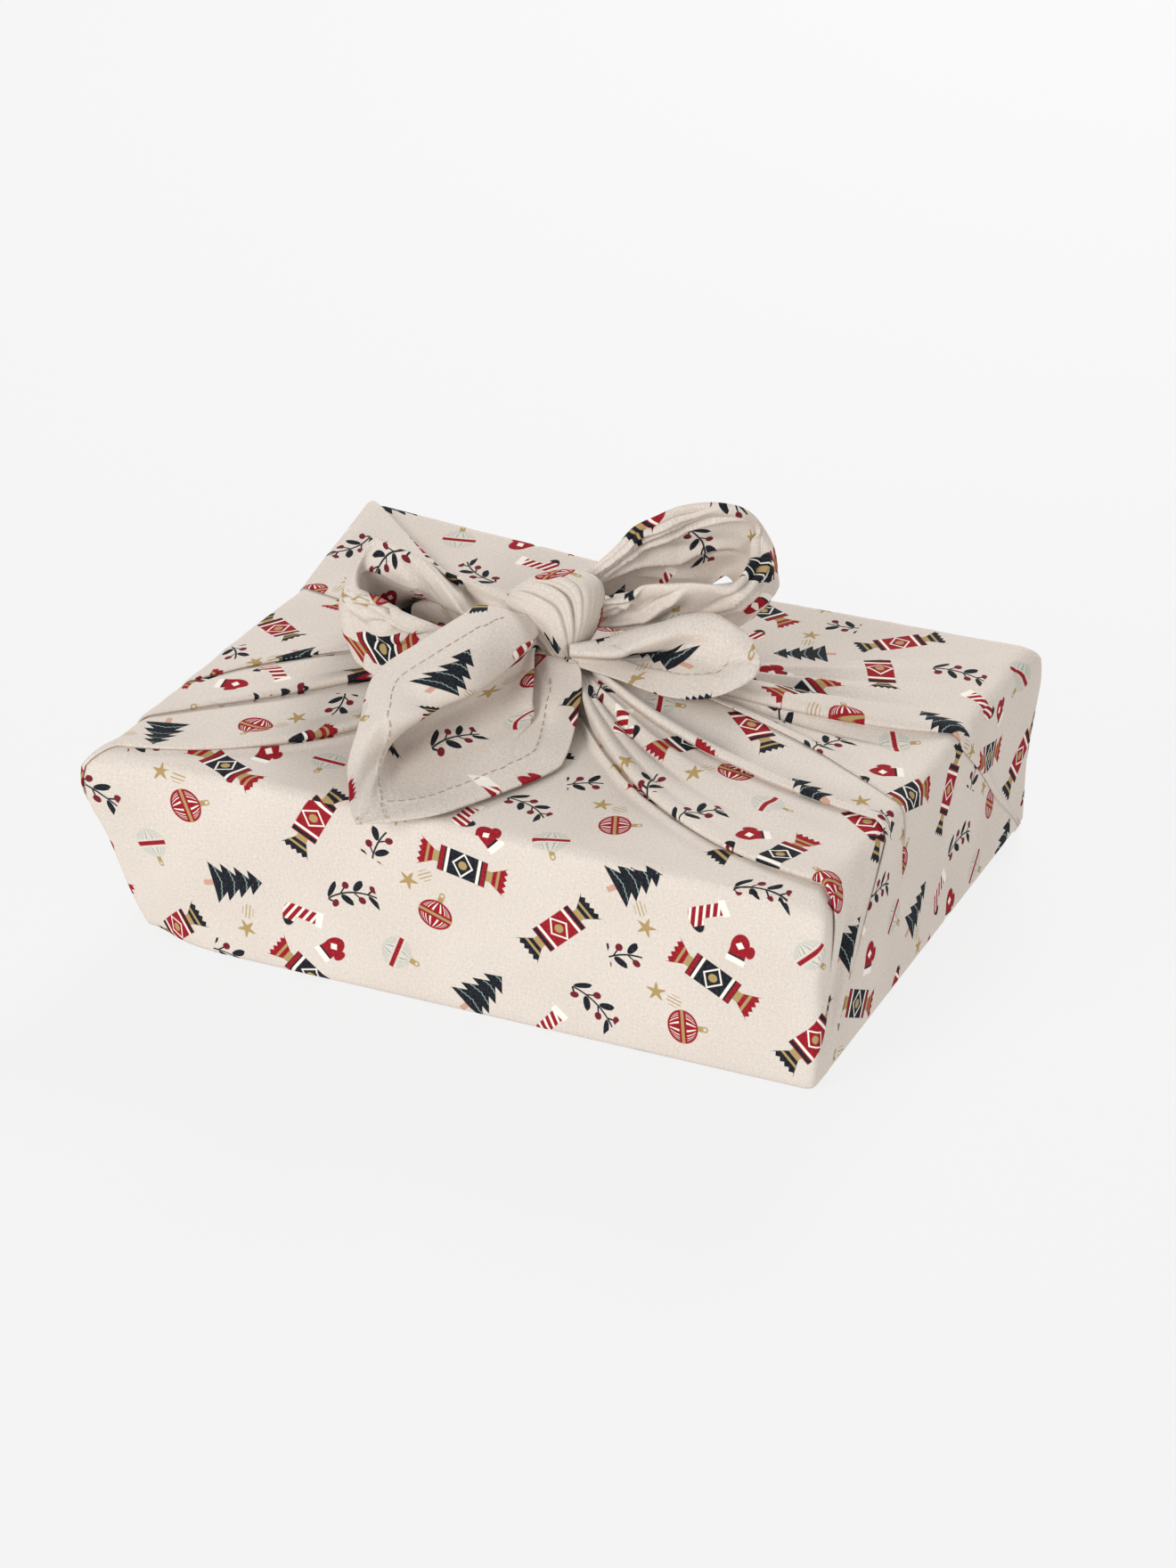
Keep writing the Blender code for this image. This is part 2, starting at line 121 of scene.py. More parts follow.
# Soft ridges and troughs of the gathered flaps, drawn from the knot towards the rim: a width at the rim,
# then heights close to the knot, halfway and at the rim, and how far the ridge has drifted along the rim
# at the knot.
Ridge = namedtuple("Ridge", "side rim width knot halfway at_rim drift")
RIDGES = (
    Ridge("right", -96, 7, 2.5, 1.6, 0.6, -4),
    Ridge("right", -84, 6, -1.2, -0.9, 0.0, 0),
    Ridge("right", -74, 6, -2.2, -1.5, -0.5, 6),
    Ridge("right", -62, 5, 1.8, 1.5, 0.4, 3),
    Ridge("right", -46, 5, 1.2, 1.0, 0.8, 0),
    Ridge("right", -36, 4, -1.0, -0.8, -0.2, 0),
    Ridge("right", -30, 4, 1.5, 1.0, 0.2, 0),
    Ridge("right", -17, 7, -2.2, -1.2, -0.2, 0),
    Ridge("right", -4, 6, 1.6, 0.6, 0.0, 4),
    Ridge("right", 12, 8, -2.6, -1.9, -0.6, 0),
    Ridge("right", 30, 7, 2.2, 1.6, 0.5, 0),
    Ridge("right", 44, 6, -1.6, -1.2, -0.2, 0),
    Ridge("right", 55, 6, 1.8, 1.4, 0.3, 0),
    Ridge("right", 68, 6, -1.2, -0.8, 0.0, 0),
    Ridge("right", 82, 6, 1.4, 1.0, 0.3, 0),
    Ridge("left", 100, 7, 2.4, 1.5, 0.6, 4),
    Ridge("left", 88, 7, -2.0, -1.3, -0.3, 0),
    Ridge("left", 78, 5, 1.6, 1.2, 0.5, 0),
    Ridge("left", 62, 7, -2.0, -1.3, -0.3, 0),
    Ridge("left", 52, 5, 1.6, 1.1, 0.2, 0),
    Ridge("left", 34, 7, -1.6, -1.0, -0.2, 0),
    Ridge("left", 18, 6, 1.5, 1.0, 0.2, 0),
    Ridge("left", 2, 7, -1.6, -1.0, 0.0, 0),
    Ridge("left", -18, 7, 1.6, 1.0, 0.2, 0),
    Ridge("left", -34, 7, -1.4, -1.0, -0.2, 0),
    Ridge("left", -56, 8, 1.8, 1.2, 0.2, 0),
    Ridge("left", -76, 8, -1.6, -1.0, 0.0, 0),
)
# Soft folds hanging down the sides: places at the rim and at the foot, width, and how far they stand out.
Drape = namedtuple("Drape", "side rim foot width out")
DRAPES = (
    Drape("right", -84, -98, 6, 1.8),
    Drape("right", -74, -94, 5, -2.2),
    Drape("right", -63, -89, 6, 2.4),
    Drape("right", -53, -84, 5, -1.6),
    Drape("right", -36, -60, 8, 1.0),
    Drape("right", -15, -12, 9, 0.8),
    Drape("right", 12, 20, 10, -0.7),
    Drape("right", 40, 52, 9, 0.8),
    Drape("right", 66, 70, 8, -0.7),
    Drape("near", 112, 104, 9, 0.9),
    Drape("near", -100, -92, 10, 0.8),
    Drape("left", 60, 52, 9, 0.8),
    Drape("left", 20, 12, 9, -0.7),
    Drape("left", -30, -20, 10, 0.8),
)
# The cloth's own unevenness: how far it wanders up and down or in and out, and over what distance.
LID_WANDER = 0.45
SIDE_WANDER = 0.55
WANDER_OVER = 27.0

Edge = namedtuple("Edge", "rim floor neck via lift puff chart slip spread opens")


def outline(place, inset):
    """Point on the bundle's rounded rectangle, seen from above, drawn in by an inset."""
    along = place % PERIMETER
    half_x = LENGTH / 2 - inset
    half_y = WIDTH / 2 - inset
    corners = ((-1, -1), (1, -1), (1, 1), (-1, 1))
    lengths = (LENGTH, WIDTH, LENGTH, WIDTH)
    side = 0
    while along > lengths[side]:
        along -= lengths[side]
        side += 1
    start = Vector((corners[side][0] * half_x, corners[side][1] * half_y))
    end = Vector((corners[(side + 1) % 4][0] * half_x, corners[(side + 1) % 4][1] * half_y))
    point = start.lerp(end, along / lengths[side])
    radius = CORNER_RADII[(1 if point.x > 0 else -1, 1 if point.y > 0 else -1)]
    core = Vector((half_x - radius, half_y - radius))
    nearest = Vector((min(max(point.x, -core.x), core.x), min(max(point.y, -core.y), core.y)))
    offset = point - nearest
    if offset.length > radius:
        point = nearest + offset.normalized() * radius
    return point


def through(first, middle, last, t):
    """Value at t of the curve that has these three values at nought, a half and one."""
    return first * (1 - t) * (1 - 2 * t) + middle * 4 * t * (1 - t) + last * t * (2 * t - 1)


def from_place(place, other):
    """Signed distance along the rim, the short way round."""
    return (place - other + PERIMETER / 2) % PERIMETER - PERIMETER / 2


def ear_out(place, t):
    """How far the cloth stands out at a place along the rim, a share t of the way down the side."""
    fade = math.exp(-(((t - EAR_HEIGHT) / EAR_REACH) ** 2))
    return fade * sum(ear.out * math.exp(-((from_place(place, ear.place) / EAR_SPREAD) ** 2)) for ear in EARS)


def folded_edges():
    """Lines across every folded edge in turn, each with its flap and how far the print slips there."""
    lines = []
    chart = "near"
    slip = 0.0
    for fold in FOLDS:
        side = SIDES[fold.side]
        if lines and side + fold.rim < lines[-1].rim:
            side += PERIMETER
        rim = side + fold.rim
        floor = side + fold.floor
        neck = Vector(fold.neck)
        via = Vector(fold.via)
        lift = Vector(fold.lift)
        step = Vector(fold.step)
        after = {"right flap, near": "right", "right flap, far": "far", "left flap, far": "left",
                 "left flap, near": "near"}.get(fold.name, chart)
        if fold.falls == 0:
            lines.append(Edge(rim, floor, neck, via, lift, fold.puff, chart, slip, 0.0, fold.opens))
            continue
        across = Vector((-via.y, via.x)).normalized() * fold.falls
        radius = Vector([min(LIP, 0.4 * drop) for drop in step])
        rolled = []
        for point in LIP_ROLL:
            drop = radius * point.rolled + (step - 2 * radius) * point.dropped
            along = point.along
            rolled.append(
                Edge(rim + along * fold.falls, floor + along * fold.falls, neck + across * along * 0.3,
                     via + across * along, lift - drop, 0.0, chart, slip, (point.opened - along) * fold.falls,
                     fold.opens)
            )
        if fold.falls < 0:
            rolled.reverse()
            foot, head = rolled[0], rolled[1:]
            rolled = [foot] + [line._replace(chart=after, slip=slip + fold.slip) for line in head]
        else:
            rolled = rolled[:-1] + [rolled[-1]._replace(chart=after, slip=slip + fold.slip)]
        chart = after
        slip += fold.slip
        rolled[-1] = rolled[-1]._replace(puff=fold.puff)
        lines.extend(rolled)
    return lines


def side_place(edge, t):
    """Place of a line of the cloth along the rim, a share t of the way down the side."""
    return edge.rim + (edge.floor - edge.rim) * t + edge.spread * min(1.0, edge.opens * t)


def ridged(place, t):
    """Height of the soft ridges at a place along the rim, a share t of the way from the knot."""
    height = 0.0
    for ridge in RIDGES:
        away = from_place(place, SIDES[ridge.side] + ridge.rim + ridge.drift * (1 - t)) / ridge.width
        if abs(away) < 2.5:
            own = through(ridge.knot, ridge.halfway, ridge.at_rim, t)
            # A ridge is round and a trough is sharp.
            height += own * math.exp(-away * away) if own > 0 else 1.35 * own * math.exp(-1.5 * abs(away))
    return height * min(1.0, t / 0.14)


def draped(place, t):
    """How far the soft folds stand out at a place, a share t of the way down a side."""
    out = 0.0
    for drape in DRAPES:
        middle = SIDES[drape.side] + drape.rim + (drape.foot - drape.rim) * t
        away = from_place(place, middle) / drape.width
        if abs(away) < 2.5:
            out += drape.out * math.exp(-away * away)
    return out * math.sin(math.pi * (0.12 + 0.8 * t)) ** 0.7


def wander(point):
    """The cloth's slow unevenness at a point, from minus one to one or so."""
    slow = noise.noise(point / WANDER_OVER)
    return slow + 0.4 * noise.noise(point / (0.41 * WANDER_OVER) + Vector((7.3, 1.9, 4.1)))


def spoke(edge):
    """Points of one line of the cloth from the neck over the rim to the floor."""
    points = []
    neck = Vector((edge.neck.x, edge.neck.y, HEIGHT + edge.lift[0]))
    for step in range(GATHER_STEPS):
        points.append(GATHER_TOP.lerp(neck, 0.1 + 0.9 * step / GATHER_STEPS))
    target = outline(edge.rim, RIM_RADIUS)
    control = 2 * edge.via - 0.5 * (edge.neck + target)
    for step in range(TOP_STEPS):
        t = step / (TOP_STEPS - 1)
        plan = edge.neck * (1 - t) ** 2 + control * 2 * t * (1 - t) + target * t**2
        lift = through(*edge.lift, t) + ridged(edge.rim, t)
        lift += LID_WANDER * (1 + wander(Vector((plan.x, plan.y, HEIGHT))))
        points.append(Vector((plan.x, plan.y, HEIGHT + lift)))
    rim_lift = edge.lift[2] + ridged(edge.rim, 1.0) + LID_WANDER
    proud = PROUD_SHARE * rim_lift
    for step in range(1, RIM_STEPS + 1):
        turn = math.radians(90 * step / RIM_STEPS)
        out = proud * math.sin(turn) + ear_out(edge.rim, 0.0) * (1 - math.cos(turn))
        plan = outline(edge.rim, RIM_RADIUS * (1 - math.sin(turn)) - out)
        drop = RIM_RADIUS * (1 - math.cos(turn))
        uneven = wander(Vector((plan.x, plan.y, HEIGHT - drop)))
        lift = (rim_lift + LID_WANDER * uneven) * math.cos(turn)
        out += SIDE_WANDER * uneven * math.sin(turn)
        plan = outline(edge.rim, RIM_RADIUS * (1 - math.sin(turn)) - out)
        points.append(Vector((plan.x, plan.y, HEIGHT + lift - drop)))
    foot = side_place(edge, 1.0)
    drawn_in = TUCK * math.exp(-((from_place(foot, 0.0) / TUCK_SPREAD) ** 2))
    for step in range(1, SIDE_STEPS + 1):
        t = step / SIDE_STEPS
        height = (HEIGHT - RIM_RADIUS) * (1 - t) + FOOT_RADIUS * t
        place = side_place(edge, t)
        plan = outline(place, 0.0)
        uneven = SIDE_WANDER * wander(Vector((plan.x, plan.y, height))) * (1 - t**4)
        uneven += draped(place, t)
        proud_here = proud * (1 - t) ** (0.5 + edge.opens)
        plan = outline(place, drawn_in * t**2.2 - proud_here - ear_out(place, t) - uneven)
        points.append(Vector((plan.x, plan.y, height)))
    for turn in (45, 90):
        angle = math.radians(turn)
        plan = outline(foot, drawn_in + FOOT_RADIUS * (1 - math.cos(angle)))
        points.append(Vector((plan.x, plan.y, FOOT_RADIUS * (1 - math.sin(angle)))))
    return points


def mesh_object(name, vertices, faces, places, material):
    """Smooth mesh in metres from points in millimetres, with a place in the flat cloth for each corner."""
    mesh = bpy.data.meshes.new(name)
    mesh.from_pydata([Vector(vertex) * MM for vertex in vertices], [], faces)
    layer = mesh.uv_layers.new(name="cloth")
    layer.uv.foreach_set("vector", [value * MM for place in places for value in place])
    mesh.materials.append(material)
    mesh.shade_smooth()
    made = bpy.data.objects.new(name, mesh)
    bpy.context.scene.collection.objects.link(made)
    return made


def chart_place(chart, point, slip):
    """Where a point of a flap on the lid lies in the flat cloth."""
    x, y = point.x, point.y
    if chart == "near":
        return x + LENGTH / 2 + slip, HEIGHT + y + WIDTH / 2
    if chart == "right":
        return LENGTH + y + WIDTH / 2 + slip, HEIGHT + LENGTH / 2 - x
    if chart == "far":
        return LENGTH * 1.5 + WIDTH - x + slip, HEIGHT + WIDTH / 2 - y
    return LENGTH * 2 + WIDTH * 1.5 - y + slip, HEIGHT + LENGTH / 2 + x


def bundle(material):
    """The cloth from the neck over the rim and under the base."""
    lines = folded_edges()
    edges = []
    for index, edge in enumerate(lines):
        after = lines[(index + 1) % len(lines)]
        lap = PERIMETER if index + 1 == len(lines) else 0.0
        gap = after.rim + lap - edge.rim
        panels = max(1, round(abs(gap) / PITCH))
        for panel in range(panels):
            t = panel / panels
            crown = edge.puff * math.sin(math.pi * t) * Vector((0.0, 1.0, 0.0))
            edges.append(edge._replace(
                rim=edge.rim + gap * t,
                floor=edge.floor + (after.floor + lap - edge.floor) * t,
                neck=edge.neck.lerp(after.neck, t),
                via=edge.via.lerp(after.via, t),
                lift=edge.lift.lerp(after.lift, t) + crown,
                spread=edge.spread + (after.spread - edge.spread) * t,
                opens=edge.opens + (after.opens - edge.opens) * t,
            ))
    spokes = [spoke(edge) for edge in edges]
    rows = len(spokes)
    columns = len(spokes[0])
    vertices = [point for points in spokes for point in points]
    faces = []
    places = []
    rim = GATHER_STEPS + TOP_STEPS
    lid = rim + RIM_STEPS // 2
    for row in range(rows):
        edge = edges[row]
        following = edges[(row + 1) % rows]
        lap = PERIMETER if row + 1 == rows else 0.0
        # The near flap's left part comes last on the way round, and its print joins the right part's.
        lapped = PERIMETER if edge.chart == "near" and edge.rim > PERIMETER / 2 else 0.0
        for column in range(columns - 1):
            beyond = (row + 1) % rows
            corners = ((row, column), (row, column + 1), (beyond, column + 1), (beyond, column))
            faces.append([a * columns + b for a, b in corners])
            for a, b in corners:
                point = spokes[a][b]
                if b <= lid and column < lid:
                    places.append(chart_place(edge.chart, point, edge.slip))
                else:
                    down = max(0, min(1, (b - rim - RIM_STEPS + 1) / SIDE_STEPS))
                    own = edge if a == row else following
                    along = side_place(own, down) + (lap if a != row else 0.0)
                    places.append((along + edge.slip - lapped, point.z))
    centre = len(vertices)
    vertices.append(Vector((0.0, 0.0, 0.3)))
    for row in range(rows):
        a = row * columns + columns - 1
        b = (row + 1) % rows * columns + columns - 1
        faces.append([centre, b, a])
        for point in (vertices[centre], vertices[b], vertices[a]):
            places.append((point.x + LENGTH / 2, -point.y - WIDTH / 2))
    return mesh_object("bundle", vertices, faces, places, material)


class Value:
    """A value in the cloth's shader, so that the print's outlines can be written as plain sums.

    Outlines are distances in millimetres, below nought inside: | joins two of them and & keeps what they
    share.
    """

    def __init__(self, tree, socket):
        self.tree = tree
        self.socket = socket

    def node(self, kind, settings, values, output=0):
        """Adds a node of a kind, with its settings first, then the values or links of its sockets."""
        made = self.tree.nodes.new(kind)
        for name, setting in settings.items():
            setattr(made, name, setting)
        for name, value in values.items():
            if isinstance(value, Value):
                self.tree.links.new(value.socket, made.inputs[name])
            else:
                made.inputs[name].default_value = value
        return Value(self.tree, made.outputs[output])

    def maths(self, operation, *others, clamp=False):
        values = dict(enumerate((self, *others)))
        return self.node("ShaderNodeMath", {"operation": operation, "use_clamp": clamp}, values)

    def vector(self, operation, *others, output=0):
        values = dict(enumerate((self, *others)))
        return self.node("ShaderNodeVectorMath", {"operation": operation}, values, output)

    def mixed(self, other, share):
        """This number turned into the other by a share."""
        return self.node("ShaderNodeMix", {}, {0: share, 2: self, 3: other})

    def dyed(self, dye, share):
        """This colour with a dye over it."""
        return self.node("ShaderNodeMix", {"data_type": "RGBA"}, {0: share, 6: self, 7: dye}, 2)

    def parts(self):
        """The across and along parts of a place."""
        split = self.node("ShaderNodeSeparateXYZ", {}, {0: self})
        return split, Value(self.tree, split.socket.node.outputs[1])

    def inside(self):
        """Nought outside an outline and one inside it, with a soft printed edge."""
        return self.maths("MULTIPLY_ADD", -PRINT_EDGE, 0.5, clamp=True)

    def __add__(self, other):
        return self.maths("ADD", other)

    __radd__ = __add__

    def __mul__(self, other):
        return self.maths("MULTIPLY", other)

    __rmul__ = __mul__

    def __sub__(self, other):
        return self.maths("SUBTRACT", other)

    def __rsub__(self, other):
        return self.node("ShaderNodeMath", {"operation": "SUBTRACT"}, {0: other, 1: self})

    def __mod__(self, other):
        return self.maths("FLOORED_MODULO", other)

    def __abs__(self):
        return self.maths("ABSOLUTE")

    def __or__(self, other):
        return self.maths("MINIMUM", other)

    def __and__(self, other):
        return self.maths("MAXIMUM", other)

    def __gt__(self, other):
        return self.maths("GREATER_THAN", other)


REPEAT = 76.0  # the print's motifs come again after this distance
DROP = 29.0  # by which each column of repeats lies lower than the one before
PRINT_EDGE = 4.0  # steepness of the printed edge
PALE = (0.86, 0.80, 0.72, 1)
NAVY = (0.009, 0.012, 0.018, 1)
RED = (0.29, 0.008, 0.016, 1)
WINE = (0.15, 0.011, 0.022, 1)
GOLD = (0.40, 0.28, 0.115, 1)
MINT = (0.30, 0.40, 0.35, 1)
BLUSH = (0.56, 0.32, 0.24, 1)


def disc(place, centre, radius):
    return place.vector("DISTANCE", (*centre, 0), output=1) - radius


def oval(place, centre, across, along):
    middle = (-centre[0] / across, -centre[1] / along, 0)
    scaled = place.vector("MULTIPLY_ADD", (1 / across, 1 / along, 0), middle)
    return (scaled.vector("LENGTH", output=1) - 1) * min(across, along)


def block(x, y, across, along):
    return (abs(x) - across) & (abs(y) - along)


def strip(value, at, half):
    return abs(value - at) - half


def motif(print_place, chance, centres, turns, split, spread=0.5, wander=2.5):
    """The place on a motif that is printed at two centres in each repeat, on either side of a split."""
    axis, at = split
    far_side = print_place.parts()[axis] > at
    centre = far_side.node("ShaderNodeMix", {"data_type": "VECTOR"},
                           {0: far_side, 4: (-centres[0][0] - wander / 2, -centres[0][1] - wander / 2, 0),
                            5: (-centres[1][0] - wander / 2, -centres[1][1] - wander / 2, 0)}, 1)
    moved = chance.vector("MULTIPLY_ADD", (wander, wander, 0), centre).vector("ADD", print_place)
    first, second = chance.parts()
    turn = far_side * (turns[1] - turns[0]) + turns[0]
    turn = turn + (first + second - 1) * spread
    turned = moved.node("ShaderNodeVectorRotate", {"rotation_type": "Z_AXIS"},
                        {"Vector": moved, "Angle": turn})
    return turned, far_side


def cotton():
    """Natural cotton, printed all over with small winter motifs."""
    material = bpy.data.materials.new("printed cotton")
    material.use_nodes = True
    tree = material.node_tree
    shader = tree.nodes["Principled BSDF"]
    start = Value(tree, None)
    cloth = start.node("ShaderNodeUVMap", {"uv_map": "cloth"}, {})
    threads = cloth.vector("SCALE")
    threads.socket.node.inputs["Scale"].default_value = 1 / MM
    grain = threads.node("ShaderNodeVectorRotate", {"rotation_type": "Z_AXIS"},
                         {"Vector": threads, "Angle": math.radians(45)})

    # The ground: slubs along both sets of threads, and a slow change of tone.
    slub_1 = grain.node("ShaderNodeTexNoise", {"noise_dimensions": "2D"},
                        {"Vector": grain.vector("MULTIPLY", (0.9, 3.6, 0)), "Scale": 1.0, "Detail": 2.0})
    slub_2 = grain.node("ShaderNodeTexNoise", {"noise_dimensions": "2D"},
                        {"Vector": grain.vector("MULTIPLY", (3.6, 0.9, 0)), "Scale": 1.0, "Detail": 2.0})
    tone = grain.node("ShaderNodeTexNoise", {"noise_dimensions": "2D"}, {"Vector": grain, "Scale": 0.03})
    heather = slub_1 + slub_2 - 1
    ground = start.node("ShaderNodeMix", {"data_type": "RGBA"},
                        {0: (heather * 1.3 + tone * 0.4 + 0.3).maths("ADD", 0.0, clamp=True),
                         6: (0.575, 0.50, 0.435, 1), 7: (0.745, 0.675, 0.61, 1)}, 2)

    # The repeat, each column of it dropped below the last.
    x, y = grain.parts()
    column = (x * (1 / REPEAT)).maths("FLOOR")
    dropped = grain.node("ShaderNodeCombineXYZ", {}, {0: x, 1: y + column * DROP})
    in_repeats = dropped.vector("SCALE")
    in_repeats.socket.node.inputs["Scale"].default_value = 1 / REPEAT
    own = in_repeats.vector("FLOOR").node("ShaderNodeTexWhiteNoise", {"noise_dimensions": "2D"}, {}, 1)
    tree.links.new(in_repeats.vector("FLOOR").socket, own.socket.node.inputs["Vector"])
    spot = in_repeats.vector("FRACTION").vector("MULTIPLY", (REPEAT, REPEAT, 0))

    colour = ground

    # Crackers: a barrel tied at both ends, with fringed tails.
    place, other = motif(spot, own, ((12, 20), (53, 53)), (0.0, 1.25), (0, 27), 0.4)
    x, y = place.parts()
    x, y = abs(x), abs(y)
    coat = start.node("ShaderNodeMix", {"data_type": "RGBA"}, {0: other, 6: RED, 7: NAVY}, 2)
    trim = start.node("ShaderNodeMix", {"data_type": "RGBA"}, {0: other, 6: NAVY, 7: RED}, 2)
    barrel = block(x, y, 4.6, 8.4)
    fringe = (x - y * 0.62 + 4.2) & ((y + abs(x % 2.2 - 1.1)) - 15.6) & (9.6 - y)
    tie = block(x, y - 9.4, 2.0, 1.1)
    colour = colour.dyed(trim, fringe.inside())
    colour = colour.dyed(GOLD, (tie | ((x - y * 0.62 + 4.2) & strip(y, 12.4, 0.45))).inside())
    colour = colour.dyed(coat, barrel.inside())
    colour = colour.dyed(PALE, (barrel & (strip(y, 5.6, 0.5) | strip(y + x * 0.8, 3.4, 0.35))).inside())
    colour = colour.dyed(trim, (barrel & strip(y, 7.4, 0.7)).inside())
    colour = colour.dyed(GOLD, disc(place, (0, 0), 1.5).inside())

    # Fir trees with pale garlands.
    place = motif(spot, own, ((14, 55), (14, 55)), (0.2, 0.2), (0, 90), 0.8)[0]
    x, y = place.parts()
    x = abs(x)
    tier = (10 - y) % 4.6
    canopy = (x - (10 - y) * 0.25 - tier * 0.72 - 0.1) & (abs(y - 1) - 9)
    colour = colour.dyed(BLUSH, block(x, y + 9.4, 1.0, 1.8).inside())
    colour = colour.dyed(NAVY, canopy.inside())
    garland = abs(tier - 1.4 - x * 0.22 + abs(x % 1.6 - 0.8) * 0.4) - 0.14
    colour = colour.dyed(MINT, (canopy & garland).inside())

    # Sprigs with leaves on one side and berries on the other in turn.
    place, other = motif(spot, own, ((38, 12), (31, 33)), (1.4, 0.5), (1, 22), 1.2)
    x, y = place.parts()
    x = x - y * y * 0.025
    half = other * -3.2 + 9.0
    level = (y + 10) * 0.2
    hand = (level.maths("FLOOR") % 2) * 2 - 1
    across = x * hand
    along = level.maths("FRACT") * 5 - 2.5
    stem = (abs(x) - 0.32) & (abs(y) - half)
    u = across + along - 3.1
    v = along - across + 1.9
    leaf = ((u * 0.25).maths("POWER", 2) + (v * 0.62).maths("POWER", 2) - 1) * 1.2
    stalk = (abs(along + across + 1.6) - 0.4) & (abs(across + 1.2) - 1.2)
    within = abs(y) - half
    colour = colour.dyed(NAVY, ((leaf & within) | stem | (stalk & within)).inside())
    berry = ((across + 2.6).maths("POWER", 2) + (along - 0.9).maths("POWER", 2) - 1.7) * 0.4
    colour = colour.dyed(WINE, (berry & within).inside())

    # Baubles, one filled and ribbed, the other in thin lines with a band.
    place, other = motif(spot, own, ((62, 10), (60, 32)), (2.2, 0.6), (1, 21), 1.5)
    x, y = place.parts()
    ball = oval(place, (0, 0), 6.0, 5.2)
    ribs = abs(x.maths("DIVIDE", ball * -0.35 + 0.25) % 2.0 - 1.0) - 0.28
    cap = block(x, y - 6.0, 1.0, 0.9) | (abs(disc(place, (0, 7.6), 0.8)) - 0.25)
    colour = colour.dyed(GOLD, cap.inside())
    colour = colour.dyed(RED, ball.inside() * other)
    ribbed = (ball + 0.7) & ribs & (1.3 - abs(y))
    colour = colour.dyed(PALE, ribbed.inside() * other)
    colour = colour.dyed(GOLD, (ball & (abs(y) - 0.5)).inside() * other)
    lines = (ball & ribs & (1.6 - abs(y))).inside() * (1 - other)
    colour = colour.dyed(MINT, lines)
    colour = colour.dyed(RED, (ball & (abs(y) - 0.8)).inside() * (1 - other))

    # Stars with a short tail of light.
    place = motif(spot, own, ((28, 46), (46, 33)), (0.4, 2.6), (0, 37), 1.0)[0]
    x, y = place.parts()
    around = y.maths("ARCTAN2", x) * (5 / math.tau)
    point = abs(around % 1.0 - 0.5) * 2
    star = place.vector("LENGTH", output=1) - point * point * 2.3 - 1.3
    trail = (abs(y % 1.3 - 0.65) - 0.2) & (abs(x + 6.5) - 3.0 + abs(y) * 0.8) & (abs(y) - 2.0)
    colour = colour.dyed(GOLD, (star | trail).inside())

    # Stockings with stripes.
    place = motif(spot, own, ((36, 67), (36, 67)), (0.3, 0.3), (0, 90), 1.4)[0]
    x, y = place.parts()
    leg = block(x + 1.4, y - 1.0, 2.2, 4.8)
    toe = oval(place, (0.8, -4.4), 4.4, 2.4)
    sock = leg | toe
    colour = colour.dyed(RED, sock.inside())
    colour = colour.dyed(PALE, (sock & (abs((y + x * 0.5) % 2.6 - 1.3) - 0.5)).inside())
    colour = colour.dyed(NAVY, (toe & (3.0 - x)).inside())
    colour = colour.dyed(PALE, block(x + 1.4, y - 6.4, 2.9, 1.2).inside())

    # Mittens.
    place = motif(spot, own, ((50, 68), (50, 68)), (-0.6, -0.6), (0, 90), 1.4)[0]
    x, y = place.parts()
    palm = oval(place, (0, 1.0), 3.0, 4.4) | block(x, y + 1.4, 2.8, 2.4) | oval(place, (3.6, 0.4), 1.4, 2.4)
    colour = colour.dyed(RED, palm.inside())
    colour = colour.dyed(PALE, ((abs(x) + abs(y - 1.0) - 1.5) | block(x, y + 4.6, 3.1, 1.1)).inside())
    colour = colour.dyed(NAVY, block(x, y + 3.2, 2.8, 0.35).inside())

    # The print sinks into the threads.
    colour = colour.dyed(ground, (heather * 0.16).maths("ADD", 0.0, clamp=True))
    tree.links.new(colour.socket, shader.inputs["Base Color"])
    bump = start.node("ShaderNodeBump", {}, {"Strength": 0.35, "Distance": 0.12 * MM, "Height": heather})
    tree.links.new(bump.socket, shader.inputs["Normal"])
    shader.inputs["Roughness"].default_value = 0.9
    shader.inputs["Specular IOR Level"].default_value = 0.1
    return material


printed_cotton = cotton()
bundle_cloth = bundle(printed_cotton)
solid = bundle_cloth.modifiers.new("one layer", "SOLIDIFY")
solid.thickness = CLOTH * MM
solid.offset = -1.0
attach(bundle_cloth, "root")
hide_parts("furoshiki")


# ---------------------------------------------------------------- the knot

# The two gathered corners cross and are tied. The band that comes over the top runs from the back
# left down to the front, closely creased along its length.
# Tables of the bow are in its own frame: across to the right, back, up.

BOW_ORIGIN = (-6.0, -1.0)
BOW_TURN = 24.2
Girth = namedtuple("Girth", "place radius")
KNOT = (
    Girth((-17, 6, 101), 3.0),
    Girth((-12, 5, 101.5), 9.5),
    Girth((-4, 3, 100), 14.5),
    Girth((3, -1, 97), 15.0),
    Girth((5, -7, 91.5), 11.5),
    Girth((4, -12, 86), 3.5),
)
KNOT_RINGS = 70
KNOT_SIDES = 360
# Where the band lies in the flat cloth: a place, and the steps from ring to ring and from side to side.
KNOT_LAID = (447, 463)
KNOT_LAID_STEPS = (0.65, 0.24)
KNOT_ENDS_LAID = (430, 430)
